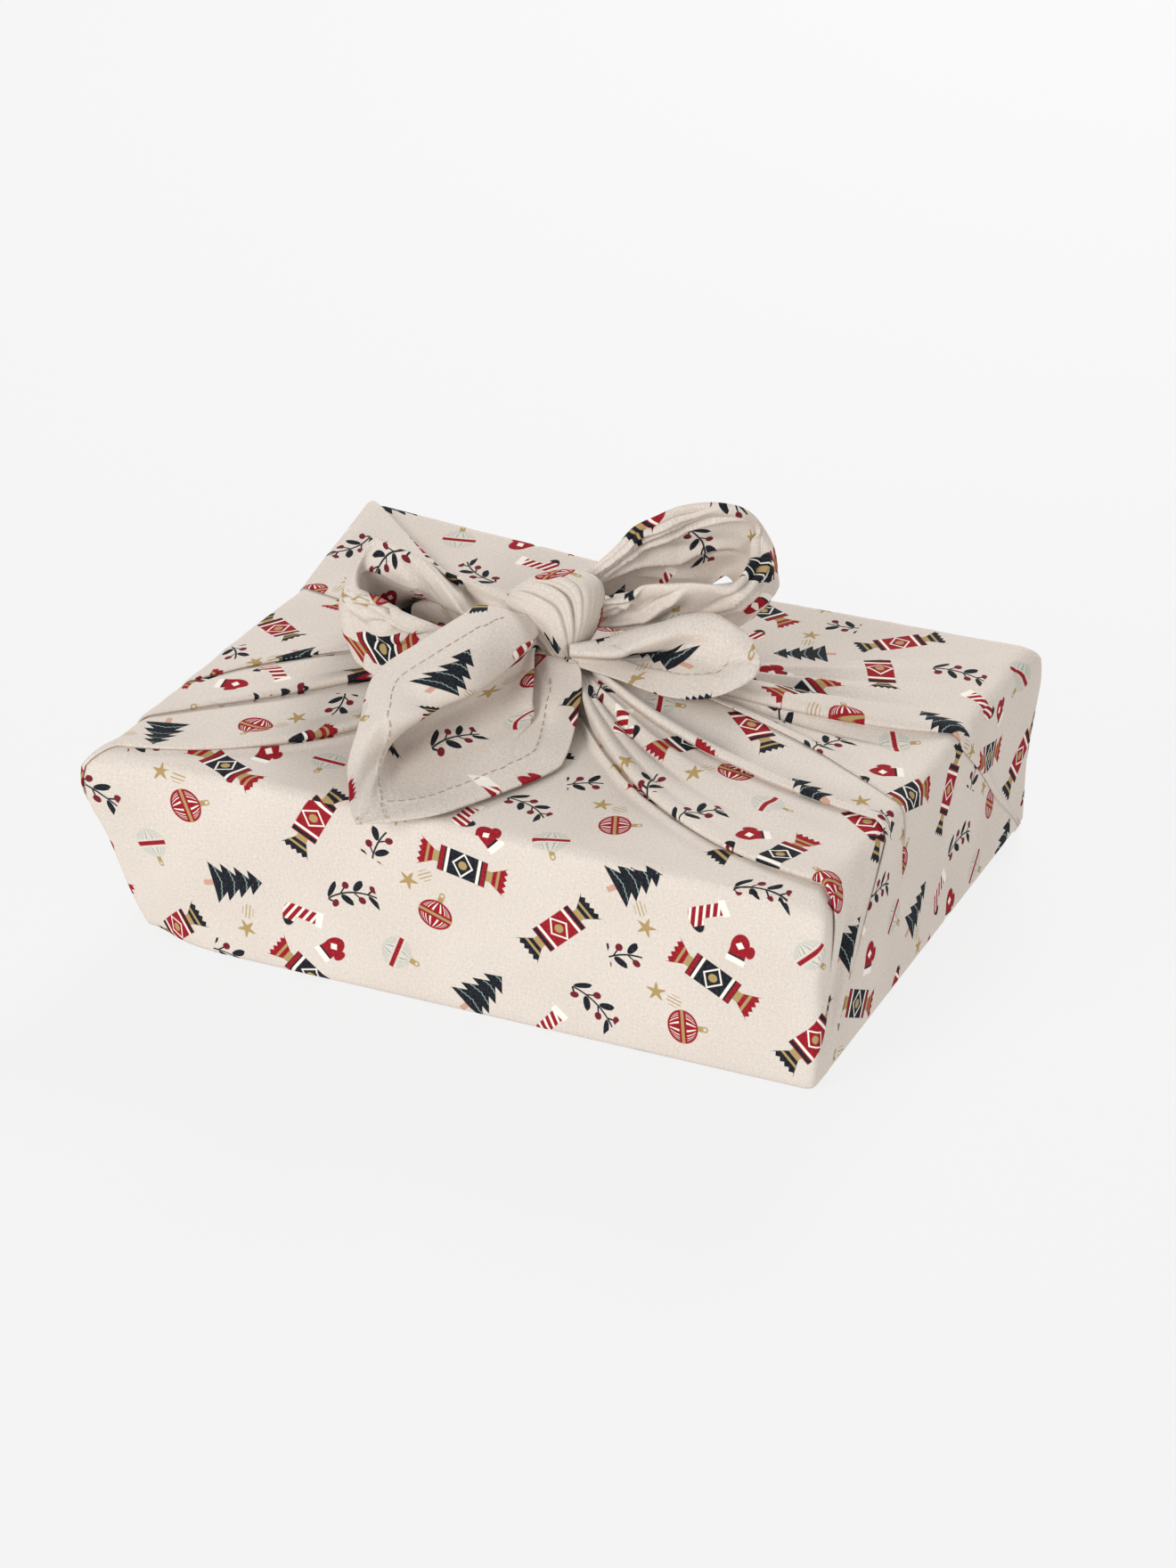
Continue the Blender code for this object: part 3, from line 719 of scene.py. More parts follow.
# Creases run along the band, steep on one side and easing out on the other. Around, steep, easy and drift are
# in degrees round the band.
Crease = namedtuple("Crease", "around depth steep easy drift")
KNOT_CREASES = (
    Crease(6, 0.4, 2.5, 7, 8),
    Crease(22, 0.6, 1.5, 6, 8),
    Crease(38, 2.2, 1.0, 8, 4),
    Crease(48, 0.4, 1.2, 4, 2),
    Crease(59, 3.0, 1.1, 9, 10),
    Crease(69, 0.6, 2.0, 5, 12),
    Crease(81, 1.1, 1.8, 9, 14),
    Crease(97, 0.5, 3.0, 9, 10),
    Crease(114, 0.9, 2.5, 9, 18),
    Crease(150, 0.6, 6, 10, 10),
    Crease(188, 0.9, 4, 8, 0),
    Crease(222, 1.0, 3, 8, 0),
    Crease(262, 1.2, 3, 8, 0),
    Crease(300, 1.1, 3, 8, 0),
    Crease(334, 1.3, 2, 8, 4),
    Crease(352, 0.8, 2, 7, 4),
)


def in_bow(point):
    """Point of the bow's frame in the bundle's frame."""
    turned = Matrix.Rotation(math.radians(BOW_TURN), 3, "Z") @ Vector(point)
    return turned + Vector((*BOW_ORIGIN, 0.0))


def spline(points, place):
    """Point on the smooth curve through the points, at a share of its length by count."""
    last = len(points) - 1
    index = min(int(place * last), last - 1)
    t = place * last - index
    b, c = points[index], points[index + 1]
    a = points[index - 1] if index > 0 else b * 2 - c
    d = points[index + 2] if index + 2 <= last else c * 2 - b
    return ((b * 2) + (c - a) * t + (a * 2 - b * 5 + c * 4 - d) * t**2 + (b * 3 - a - c * 3 + d) * t**3) / 2


def knot(material):
    """Band over the knot, lofted round its middle line and creased."""
    centres = [Vector(girth.place) for girth in KNOT]
    radii = [Vector((girth.radius, 0, 0)) for girth in KNOT]
    ahead = centres[-1] - centres[0]
    side = ahead.cross(Vector((0, 0, 1))).normalized()
    top = side.cross(ahead).normalized()
    vertices = []
    for ring in range(KNOT_RINGS):
        place = ring / (KNOT_RINGS - 1)
        centre = spline(centres, place)
        radius = spline(radii, place).x
        for corner in range(KNOT_SIDES):
            degrees = 360 * corner / KNOT_SIDES
            reach = radius
            for crease in KNOT_CREASES:
                off = (degrees - crease.around - crease.drift * (0.5 - place) + 180) % 360 - 180
                width = crease.easy if off > 0 else crease.steep
                reach -= crease.depth * math.sin(math.pi * place) ** 0.7 * math.exp(-abs(off) / width)
            angle = math.radians(degrees)
            vertices.append(in_bow(centre + side * math.cos(angle) * reach + top * math.sin(angle) * reach))
    faces = []
    places = []
    for ring in range(KNOT_RINGS - 1):
        for corner in range(KNOT_SIDES):
            after = (corner + 1) % KNOT_SIDES
            faces.append([ring * KNOT_SIDES + corner, ring * KNOT_SIDES + after,
                          (ring + 1) * KNOT_SIDES + after, (ring + 1) * KNOT_SIDES + corner])
            for a, b in ((ring, corner), (ring, corner + 1), (ring + 1, corner + 1), (ring + 1, corner)):
                places.append((KNOT_LAID[0] + a * KNOT_LAID_STEPS[0], KNOT_LAID[1] + b * KNOT_LAID_STEPS[1]))
    for ring in (0, KNOT_RINGS - 1):
        cap = [ring * KNOT_SIDES + corner for corner in range(KNOT_SIDES)]
        if ring == 0:
            cap.reverse()
        faces.append(cap)
        places += [KNOT_ENDS_LAID] * KNOT_SIDES
    return mesh_object("knot", vertices, faces, places, material)


knot_band = knot(printed_cotton)
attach(knot_band, "root")
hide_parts("furoshiki")


# ---------------------------------------------------------------- the loops of the bow

# Each loop is one gathered corner doubled back under the knot: a flattened band of cloth with rolled
# edges, whose pleats fan out from the knot.
# Each section runs across the band, from its lower edge inside the loop, over the rim and down the outside.

Band = namedtuple("Band", "low wave crest upper rim_in rim_out side foot")
RIGHT_LOOP = (
    Band((10.5, 13, 97), (10.5, 13, 99), (10.5, 12.5, 101), (10, 12, 103), (9.5, 10, 105.5),
         (8.5, 10.5, 106.5), (8, 15, 103), (8, 21, 98)),
    Band((21.5, 17, 97), (21.5, 17, 102), (21, 15.5, 106), (20.5, 13.5, 110), (19.5, 11, 114),
         (18, 12, 115), (18, 21, 109), (18, 33.5, 98)),
    Band((28, 20.5, 96.5), (27.5, 19.5, 103), (27, 16, 109), (26.5, 14, 115), (25.5, 11.5, 120),
         (24, 12.5, 122), (24.5, 24, 113), (24.5, 39, 98)),
    Band((34.5, 22, 95), (34, 21, 103), (33.5, 16.5, 111), (33.5, 13, 119), (33, 10.5, 124),
         (31, 11, 126.5), (32, 24.5, 115), (32.5, 43, 98)),
    Band((41, 21.5, 96), (41, 21.5, 103.5), (41.5, 17, 112), (41, 15, 122), (41, 11, 127.5),
         (39.5, 11.5, 130), (41.5, 26, 117), (42, 44.5, 99)),
    Band((49, 21.5, 97), (50.5, 21.5, 104.5), (51, 17, 114), (51, 14, 124), (50.5, 10.5, 129),
         (50, 12, 131), (52, 25.5, 118), (53, 43, 101)),
    Band((54.5, 20, 101.5), (58, 20.5, 105.5), (59, 18.5, 113), (59.5, 15.5, 122), (60, 12, 127),
         (60, 13, 128.5), (63, 21, 118), (62, 35.5, 103)),
    Band((58, 19, 98.5), (61, 18.5, 102.5), (63, 19, 108.5), (64, 18, 115.5), (65, 18, 120.5),
         (66.5, 19, 119.5), (70, 23.5, 110), (68, 27.5, 100)),
    Band((58, 16.5, 97), (60.5, 16, 99.5), (63, 16.5, 103.5), (64.5, 15.5, 109.5), (65.5, 16, 114.5),
         (68, 16.5, 113.5), (71.5, 19, 104), (69.5, 20, 93)),
    Band((55.5, 15, 95), (57.5, 14.5, 97), (60, 11.5, 100.5), (62, 9.5, 105), (64.5, 9.5, 110.5),
         (67, 9, 108.5), (70.5, 13.5, 100), (65.5, 14, 91)),
    Band((51.5, 14.5, 94), (52.5, 12.5, 96), (54, 8.5, 99), (56, 4.5, 103), (59, 1.5, 108.5),
         (62, 1, 106.5), (65.5, 6, 98), (59.5, 8.5, 89)),
    Band((46.5, 14, 94), (47, 11, 96), (48, 7.5, 99), (49, 1, 103.5), (51.5, -4, 109), (54.5, -4.5, 107),
         (57.5, 2, 98), (51.5, 4.5, 89)),
    Band((40, 13, 94), (40, 11, 96), (40.5, 7.5, 99), (41, 0.5, 104), (42.5, -4, 109.5),
         (45, -4.5, 107.5), (47, 1, 98), (42, 3.5, 88)),
    Band((34, 13, 94), (33.5, 11, 96), (34, 7.5, 99), (34, 0.5, 104), (34.5, -3.5, 109), (36, -4.5, 107),
         (37, 0.5, 98), (34, 3, 88)),
    Band((27.5, 12.5, 94), (27, 10, 96), (27, 7.5, 98.5), (27.5, 2.5, 102.5), (27.5, -1.5, 107.5),
         (27.5, -1.5, 105), (27.5, 2, 97), (26.5, 2.5, 89)),
    Band((21, 10.5, 94), (20.5, 8, 96), (20.5, 6, 98), (21, 2.5, 100.5), (21, 0, 103.5), (21, 0, 101.5),
         (20.5, 2.5, 95.5), (20, 2, 90)),
    Band((11.5, 7, 94), (11.5, 6.5, 95), (11, 5, 96.5), (11, 3, 98.5), (11, 1.5, 100), (11, 0.5, 98.5),
         (10.5, 3.5, 95), (10.5, 3.5, 91)),
)
Strand = namedtuple("Strand", "low fold deep face lip rolled valley rim side foot")
LEFT_LOOP = (
    Strand((-11, -2.5, 90), (-11.5, -5, 93), (-12, -2, 93), (-12.5, -5.5, 96), (-13, -7, 97.5),
           (-13.5, -8.5, 99), (-14, -2.5, 99), (-15, -1.5, 103), (-14.5, 11.5, 98), (-13.5, 21.5, 92)),
    Strand((-26.5, 3, 88), (-27, 3, 92), (-28, 6.5, 91), (-27.5, 1.5, 94), (-28, -2, 96), (-29, -6, 98.5),
           (-26.5, 4, 98.5), (-25, 5.5, 104), (-24, 17, 98), (-23.5, 28.5, 90)),
    Strand((-34, 5, 87), (-36, 10, 93.5), (-37, 21.5, 89), (-37, 12.5, 95), (-36.5, 3, 97.5),
           (-35, -3, 104), (-32.5, 8, 101.5), (-31, 7, 106), (-30.5, 18.5, 99), (-30.5, 31.5, 89)),
    Strand((-40.5, 7, 86), (-43.5, 14, 93), (-45.5, 27.5, 88), (-45.5, 20, 93), (-42, 7, 99.5),
           (-41, 4, 109), (-38.5, 10, 105.5), (-38, 8, 108), (-37, 19, 100), (-37.5, 33.5, 89)),
    Strand((-47.5, 11.5, 86), (-50, 16.5, 90), (-52, 24.5, 88), (-52, 17.5, 95.5), (-48.5, 6, 104),
           (-46.5, 7, 113), (-45.5, 9, 112.5), (-45, 12, 110.5), (-44.5, 21, 102), (-46, 38, 90)),
    Strand((-54.5, 17, 86), (-56, 18, 88), (-57, 22.5, 88.5), (-57, 17.5, 96.5), (-53.5, 7.5, 107),
           (-53.5, 9, 115), (-52.5, 10, 115), (-52, 13.5, 112), (-53, 25.5, 103), (-54.5, 43, 91)),
    Strand((-60.5, 19, 87), (-61.5, 20, 88.5), (-63, 22, 90.5), (-62.5, 17.5, 98), (-60.5, 11, 108.5),
           (-60.5, 15.5, 115), (-61.5, 16.5, 116), (-62.5, 19, 113), (-65, 29.5, 104), (-66.5, 44.5, 92)),
    Strand((-63.5, 20.5, 86.5), (-64.5, 21, 88), (-65, 21, 90.5), (-65, 17.5, 96.5), (-66, 13.5, 104.5),
           (-66.5, 11, 109.5), (-67.5, 11, 109), (-69, 12.5, 107), (-71.5, 17.5, 98), (-71, 20.5, 87)),
    Strand((-63.5, 18, 86), (-64.5, 19, 87), (-65, 19, 89), (-65.5, 13.5, 93.5), (-66.5, 7, 100.5),
           (-67, 4, 105), (-69.5, 4, 104.5), (-71, 5, 102.5), (-73, 12.5, 93), (-70.5, 7, 84)),
    Strand((-61, 16, 85), (-61.5, 16, 86.5), (-62, 15, 88.5), (-62, 11, 93), (-63, 6, 98),
           (-63.5, 1.5, 103.5), (-66.5, -0.5, 103), (-69, -0.5, 100), (-71, 0.5, 91), (-67, -5, 82)),
    Strand((-56, 12, 85), (-56.5, 11.5, 86.5), (-56.5, 11, 88.5), (-57, 7, 93), (-57.5, 2, 98),
           (-58, -3, 102.5), (-60, -6, 101.5), (-62, -6, 98.5), (-65, -4.5, 90), (-61, -13.5, 81)),
    Strand((-51, 8, 85), (-51, 7.5, 86.5), (-51, 6, 88.5), (-51.5, 1.5, 92.5), (-51.5, -4, 97),
           (-51.5, -9, 101.5), (-53, -11.5, 100), (-55, -12, 97), (-57, -11.5, 89.5), (-55, -16, 80)),
    Strand((-44, 2.5, 86), (-44, 2.5, 87), (-44, 1, 88.5), (-44, -3.5, 92), (-43.5, -9, 96),
           (-43, -15, 100.5), (-45, -15.5, 98.5), (-47, -15, 95.5), (-48.5, -14.5, 88.5), (-47, -17.5, 80)),
    Strand((-35.5, -2.5, 87), (-35.5, -2.5, 88), (-35.5, -3.5, 89.5), (-35.5, -7, 92), (-35, -11, 95),
           (-35, -15.5, 98), (-36, -15, 96), (-37.5, -14.5, 93.5), (-38, -14, 88), (-37, -15.5, 81)),
    Strand((-19.5, -6, 89), (-19.5, -6, 90), (-20, -6, 91), (-20, -8, 93), (-20.5, -9, 94),
           (-21, -10, 95.5), (-21, -9.5, 94), (-21, -10, 92.5), (-20.5, -7.5, 88.5), (-19, -7.5, 84)),
    Strand((-8.5, -8, 90), (-8.5, -8.5, 91), (-8.5, -9.5, 92), (-8.5, -10, 93), (-8.5, -10.5, 93.5),
           (-8.5, -11, 94), (-8.5, -10, 93), (-8.5, -10, 92), (-8.5, -8.5, 89.5), (-8, -8.5, 87)),
)
LOOP_STATIONS = 170
LOOP_STEPS = 150
BAND_CLOTH = 1.0  # thickness of the gathered cloth
LOOP_SPREAD = (150.0, 45.0)  # of the band, laid out
# A pleat runs through places given as shares of the band's length and width, and eases out to its two
# sides over the last two sizes. A negative depth is a soft ridge.
Pleat = namedtuple("Pleat", "path depth left right")
RIGHT_PLEATS = (
    Pleat(((0, 0.6), (0.03, 0.58), (0.08, 0.57), (0.13, 0.58), (0.17, 0.56), (0.21, 0.57), (0.27, 0.55),
           (0.33, 0.63)), 2.2, 0.6, 1.6),
    Pleat(((0, 0.54), (0.05, 0.53), (0.09, 0.49), (0.15, 0.49), (0.19, 0.5), (0.23, 0.47), (0.27, 0.48),
           (0.3, 0.5)), 1.8, 0.5, 1.6),
    Pleat(((0, 0.48), (0.06, 0.47), (0.11, 0.43), (0.17, 0.41), (0.22, 0.4), (0.25, 0.42), (0.29, 0.43),
           (0.34, 0.47), (0.39, 0.52)), 2.8, 0.5, 2.2),
    Pleat(((0.09, 0.35), (0.13, 0.33), (0.21, 0.32), (0.27, 0.29), (0.35, 0.31),
           (0.42, 0.33)), -1.7, 2.0, 2.6),
    Pleat(((0, 0.4), (0.06, 0.32), (0.12, 0.27), (0.18, 0.24), (0.23, 0.23), (0.27, 0.26), (0.33, 0.27),
           (0.41, 0.27)), 3.1, 3.0, 0.6),
    Pleat(((0.1, 0.14), (0.16, 0.12), (0.25, 0.09), (0.32, 0.05)), 1.4, 3.0, 1.5),
    Pleat(((0.41, 0.59), (0.45, 0.53), (0.52, 0.54), (0.57, 0.55), (0.62, 0.61), (0.67, 0.69),
           (0.71, 0.76)), 2.5, 1.2, 1.2),
    Pleat(((0.5, 0.68), (0.56, 0.68), (0.62, 0.69), (0.67, 0.75), (0.71, 0.82),
           (0.76, 0.9)), 3.4, 1.6, 0.7),
    Pleat(((0.5, 0.74), (0.58, 0.75), (0.64, 0.77), (0.69, 0.84), (0.73, 0.93)), 2.5, 1.6, 0.7),
    Pleat(((0.52, 0.84), (0.59, 0.85), (0.63, 0.86), (0.68, 0.92)), 1.7, 1.2, 0.7),
    Pleat(((0.89, 0.9), (0.87, 0.87), (0.84, 0.81), (0.81, 0.76), (0.77, 0.68)), 3.1, 0.6, 1.6),
    Pleat(((1, 0.98), (0.93, 0.93), (0.89, 0.91), (0.85, 0.86), (0.81, 0.83)), 2.5, 1.6, 0.7),
    Pleat(((1, 0.84), (0.95, 0.78), (0.92, 0.71)), 1.8, 1.2, 0.6),
    Pleat(((1, 0.62), (0.95, 0.67), (0.91, 0.67), (0.87, 0.6)), 2.2, 1.2, 0.6),
    Pleat(((1, 0.74), (0.96, 0.72), (0.9, 0.76)), 1.5, 0.8, 0.8),
)
LEFT_PLEATS = (
    Pleat(((0.52, 0.47), (0.47, 0.45), (0.44, 0.43), (0.41, 0.41), (0.34, 0.39), (0.29, 0.4),
           (0.25, 0.43), (0.15, 0.44)), 1.8, 2.0, 0.5),
    Pleat(((0.32, 0.51), (0.29, 0.52), (0.26, 0.5), (0.21, 0.47), (0.15, 0.45)), 1.3, 1.2, 0.6),
    Pleat(((0.29, 0.09), (0.25, 0.11), (0.16, 0.11), (0.11, 0.19)), -1.8, 1.6, 1.6),
    Pleat(((0.63, 0.73), (0.65, 0.64), (0.69, 0.6), (0.7, 0.65), (0.7, 0.75), (0.67, 0.8),
           (0.65, 0.81)), 2, 0.6, 1.6),
    Pleat(((0.72, 0.74), (0.75, 0.77), (0.78, 0.77), (0.8, 0.75), (0.82, 0.65)), 2.3, 1.8, 0.6),
    Pleat(((0.69, 0.87), (0.73, 0.87), (0.77, 0.85), (0.81, 0.82)), 1.8, 1.6, 0.7),
    Pleat(((0.46, 0.9), (0.51, 0.93), (0.55, 0.96), (0.61, 0.95), (0.64, 0.99)), 2.2, 1.2, 0.7),
    Pleat(((0.6, 0.81), (0.63, 0.82), (0.67, 0.84), (0.69, 0.85)), 1.7, 1.2, 0.7),
    Pleat(((0.57, 0.72), (0.6, 0.7), (0.66, 0.7), (0.72, 0.7)), 1.8, 1.4, 0.6),
    Pleat(((0.54, 0.8), (0.57, 0.73), (0.59, 0.68)), 1.6, 0.6, 1.0),
    Pleat(((0, 0.64), (0.07, 0.66), (0.12, 0.68), (0.18, 0.8)), 1.8, 0.7, 1.4),
    Pleat(((0, 0.82), (0.08, 0.84), (0.16, 0.9), (0.24, 0.93)), 1.6, 0.7, 1.4),
    Pleat(((1, 0.9), (0.92, 0.86), (0.86, 0.87)), 1.7, 1.0, 0.6),
    Pleat(((1, 0.8), (0.93, 0.78), (0.85, 0.7)), 1.6, 1.0, 0.6),
)


def from_path(place, path):
    """Distance to a path of straight runs, the side it lies on, and the share of the runs gone by."""
    nearest = (1000.0, 1.0, 0.0)
    for index in range(len(path) - 1):
        run = path[index + 1] - path[index]
        gone = max(0.0, min(1.0, (place - path[index]).dot(run) / run.length_squared))
        away = place - path[index] - run * gone
        if away.length < nearest[0]:
            nearest = (away.length, run.cross(away), (index + gone) / (len(path) - 1))
    return nearest


def pleated(pleats, place):
    """Depth of the pleats at a place on the band."""
    sunk = 0.0
    for pleat, path in pleats:
        away, side, gone = from_path(place, path)
        width = pleat.left if side > 0 else pleat.right
        if away > 5 * width:
            continue
        opening = 1.0 if pleat.path[0][0] in (0, 1) else min(1.0, 0.2 + 4 * gone)
        closing = min(1.0, 3.3 * (1 - gone))
        shape = math.exp(-away / width) if pleat.depth > 0 else math.exp(-((away / width) ** 2))
        bank = 0.3 * math.exp(-((away / width - 2.2) ** 2)) if pleat.depth > 0 else 0.0
        sunk += pleat.depth * opening * closing * (shape - bank)
    return sunk


def lofted(sections, stations, steps):
    """Rows of points on the smooth surface through the sections."""
    lines = [[Vector(point) for point in section] for section in sections]
    rows = []
    for station in range(stations):
        place = station / (stations - 1)
        row = [spline([line[column] for line in lines], place) for column in range(len(lines[0]))]
        rows.append([spline(row, step / (steps - 1)) for step in range(steps)])
    return rows


def sheet_object(name, vertices, stations, steps, flat, thickness, material):
    """Single layer of cloth from rows of points."""
    faces = []
    places = []
    for station in range(stations - 1):
        for step in range(steps - 1):
            start = station * steps + step
            face = [start, start + steps, start + steps + 1, start + 1]
            faces.append(face)
            places += [flat[index] for index in face]
    made = mesh_object(name, vertices, faces, places, material)
    layer = made.modifiers.new("one layer", "SOLIDIFY")
    layer.thickness = thickness * MM
    layer.offset = 0.0
    return made


def loop(name, sections, pleats, corner, material):
    """Band of one layer lofted along the sections, creased on both of its faces."""
    rows = lofted(sections, LOOP_STATIONS, LOOP_STEPS)
    vertices = []
    flat = []
    along = 0.0
    middle = LOOP_STEPS // 2
    spread = Vector(LOOP_SPREAD)
    laid_out = [(pleat, [Vector(place) * spread for place in pleat.path]) for pleat in pleats]
    for station, row in enumerate(rows):
        before = rows[max(station - 1, 0)]
        after = rows[min(station + 1, LOOP_STATIONS - 1)]
        along += (row[middle] - before[middle]).length
        across = -sum((row[step] - row[step - 1]).length for step in range(1, middle + 1))
        for step in range(LOOP_STEPS):
            run = after[step] - before[step]
            rise = row[min(step + 1, LOOP_STEPS - 1)] - row[max(step - 1, 0)]
            normal = run.cross(rise).normalized()
            if step > 0:
                across += (row[step] - row[step - 1]).length
            place = Vector((station / (LOOP_STATIONS - 1), step / (LOOP_STEPS - 1))) * spread
            sunk = pleated(laid_out, place)
            vertices.append(in_bow(row[step] + normal * sunk))
            flat.append((corner[0] + along, corner[1] + across))
    return sheet_object(name, vertices, LOOP_STATIONS, LOOP_STEPS, flat, BAND_CLOTH, material)


right_loop = loop("right_loop", RIGHT_LOOP, RIGHT_PLEATS, (300, 520), printed_cotton)
left_loop = loop("left_loop", LEFT_LOOP, LEFT_PLEATS, (520, 520), printed_cotton)
for band in (right_loop, left_loop):
    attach(band, "root")
    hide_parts("furoshiki")


# ---------------------------------------------------------------- the tails

# The two free corners of the cloth, a single layer with a narrow double-turned hem. The left one is
# folded over itself and hangs over the lid to the near rim, the right one lies open like a leaf.

Tail = namedtuple("Tail", "hem crown lip under valley floor pleat pleat_under panel free_hem")
LEFT_TAIL = (
    Tail((-11, -9.5, 101), (-8.5, -10, 99), (-6.5, -9.5, 96), (-6, -5.5, 93), (-6, -5.5, 92),
         (-5.5, -6, 91), (-5, -6, 90), (-5, -2, 88), (-2, -8, 88), (2, -17.5, 88)),
    Tail((-25.5, -10.5, 105), (-19, -24.5, 104), (-12.5, -28.5, 97), (-13.5, -22.5, 93.5),
         (-11.5, -17, 91), (-10.5, -12.5, 90), (-8.5, -10.5, 89.5), (-9.5, -6, 86.5), (-4, -15, 88.5),
         (6, -18, 86.5)),
    Tail((-32, -20.5, 106), (-26, -39, 104.5), (-20.5, -41.5, 95), (-22, -32, 90), (-19, -24, 86.5),
         (-14, -22, 85.5), (-9, -22, 86), (-11, -15, 82), (-2.5, -22.5, 84), (7, -21.5, 83)),
    Tail((-45, -34, 103), (-37, -48.5, 101.5), (-28.5, -50.5, 93), (-30.5, -40.5, 88), (-27, -31.5, 83),
         (-19, -30.5, 81), (-9.5, -32.5, 81.5), (-11.5, -26, 78), (-2.5, -31.5, 79.5), (6.5, -27.5, 78.5)),
    Tail((-59.5, -41.5, 95), (-49, -53.5, 95), (-37.5, -53.5, 90), (-39.5, -41.5, 84.5), (-35.5, -37, 79),
         (-23, -41, 77), (-10, -38, 77), (-10, -37.5, 76), (-3, -40, 75), (5, -37.5, 75)),
    Tail((-64, -60.5, 86), (-54.5, -61.5, 90), (-43.5, -57.5, 87.5), (-46.5, -43, 81), (-43.5, -44, 76),
         (-31, -49.5, 74), (-18, -49, 74.5), (-14, -49, 73.5), (-6.5, -51, 72.5), (2, -52.5, 71.5)),
    Tail((-67, -71.5, 78), (-60, -67, 82), (-51.5, -59.5, 82), (-54, -48.5, 77), (-50.5, -50.5, 73),
         (-41, -57, 72), (-29.5, -60, 72), (-22.5, -61, 71.5), (-13.5, -62, 70.5), (-3.5, -61.5, 70)),
    Tail((-66, -82.5, 73.5), (-61.5, -73.5, 75), (-56, -62.5, 76.5), (-56.5, -57, 73), (-53.5, -62.5, 71),
         (-47.5, -68.5, 70.5), (-42, -71.5, 70), (-36, -74.5, 70), (-32, -76.5, 69.5), (-27.5, -81, 69.5)),
    Tail((-65.5, -89.5, 71.5), (-63, -86, 72), (-60, -83.5, 72.5), (-58, -82, 72), (-55, -81.5, 71),
         (-51.5, -82.5, 70.5), (-48.5, -84, 70), (-45.5, -86, 70), (-43.5, -88, 70), (-41, -90, 69.5)),
    Tail((-64, -94, 70), (-64, -94.5, 70), (-63.5, -94.5, 70), (-63.5, -95, 70), (-63, -95, 69.5),
         (-63, -95, 69.5), (-62.5, -95, 69.5), (-62, -95, 69.5), (-62, -95.5, 69.5), (-61.5, -95.5, 69)),
)
Leaf = namedtuple("Leaf", "back ridge slope lip under lower band hem")
RIGHT_TAIL = (
    Leaf((3, -13.5, 92), (3, -17, 93), (3, -17.5, 92), (3, -18, 91), (3.5, -16, 89), (3.5, -16, 88),
         (4, -16, 87), (4.5, -17, 86)),
    Leaf((18.5, -4, 88), (17.5, -10, 93), (17.5, -16, 92.5), (17, -18.5, 90.5), (17.5, -12, 87),
         (18.5, -14.5, 86), (19, -17.5, 85), (18.5, -22, 83.5)),
    Leaf((27, -1, 88), (25.5, -8.5, 95.5), (26, -15.5, 95), (24, -17, 91.5), (26, -8, 86.5),
         (27, -12.5, 85), (27.5, -19.5, 84), (26.5, -26, 82)),
    Leaf((35, 1, 89), (33.5, -9, 98), (34, -16.5, 97), (33, -14.5, 91.5), (33.5, -10, 87.5),
         (34.5, -15, 86), (35.5, -21.5, 85), (34, -30.5, 81.5)),
    Leaf((43, 3, 90), (40.5, -9, 100.5), (41.5, -15.5, 98), (41.5, -14.5, 92.5), (41.5, -16, 89),
         (42, -21, 87.5), (42.5, -25.5, 86), (41, -33.5, 82)),
    Leaf((51.5, 1.5, 90), (49, -8.5, 101), (49.5, -15.5, 98), (49.5, -17, 93), (49.5, -19.5, 90),
         (50, -23, 88), (49.5, -28, 86.5), (48.5, -34.5, 83)),
    Leaf((58, -4, 90), (55.5, -12.5, 99.5), (56, -18, 97), (56.5, -21.5, 93.5), (56.5, -24, 91),
         (56.5, -28.5, 89.5), (56, -32, 88), (55, -35, 85.5)),
    Leaf((63, -12.5, 89), (61, -17, 96), (61.5, -21.5, 94.5), (62, -25, 93), (62, -27, 91.5),
         (61.5, -30.5, 90.5), (61, -32, 89), (59.5, -32.5, 87.5)),
    Leaf((64.5, -25.5, 90), (64, -25, 92.5), (64.5, -26.5, 92), (64.5, -28, 91.5), (64.5, -28.5, 91),
         (64, -29.5, 90.5), (63.5, -30.5, 90), (62.5, -31.5, 89)),
)
TAIL_STATIONS = 110
TAIL_STEPS = 150
TAIL_CLOTH = 0.8
HEM = 10.0  # from the edge to the row of stitches
HEM_LAYERS = 0.35  # by which the turned hem stands up
THREAD = 0.17  # radius of the sewing thread
STITCH = 2.1
STITCH_PITCH = 3.4
UPPER_FACE = Vector((-0.1, -0.6, 0.8))  # the way that the sewn face looks


def beside(point, line):
    """Distance from a point to the nearest point of a line."""
    return min((point - other).length for other in line)


def hem_lengths(rows, column):
    """Length along a hem from the free corner to every row."""
    lengths = [0.0]
    for row, before in zip(rows[-2::-1], rows[:0:-1]):
        lengths.append(lengths[-1] + (row[column] - before[column]).length)
    return lengths[::-1]


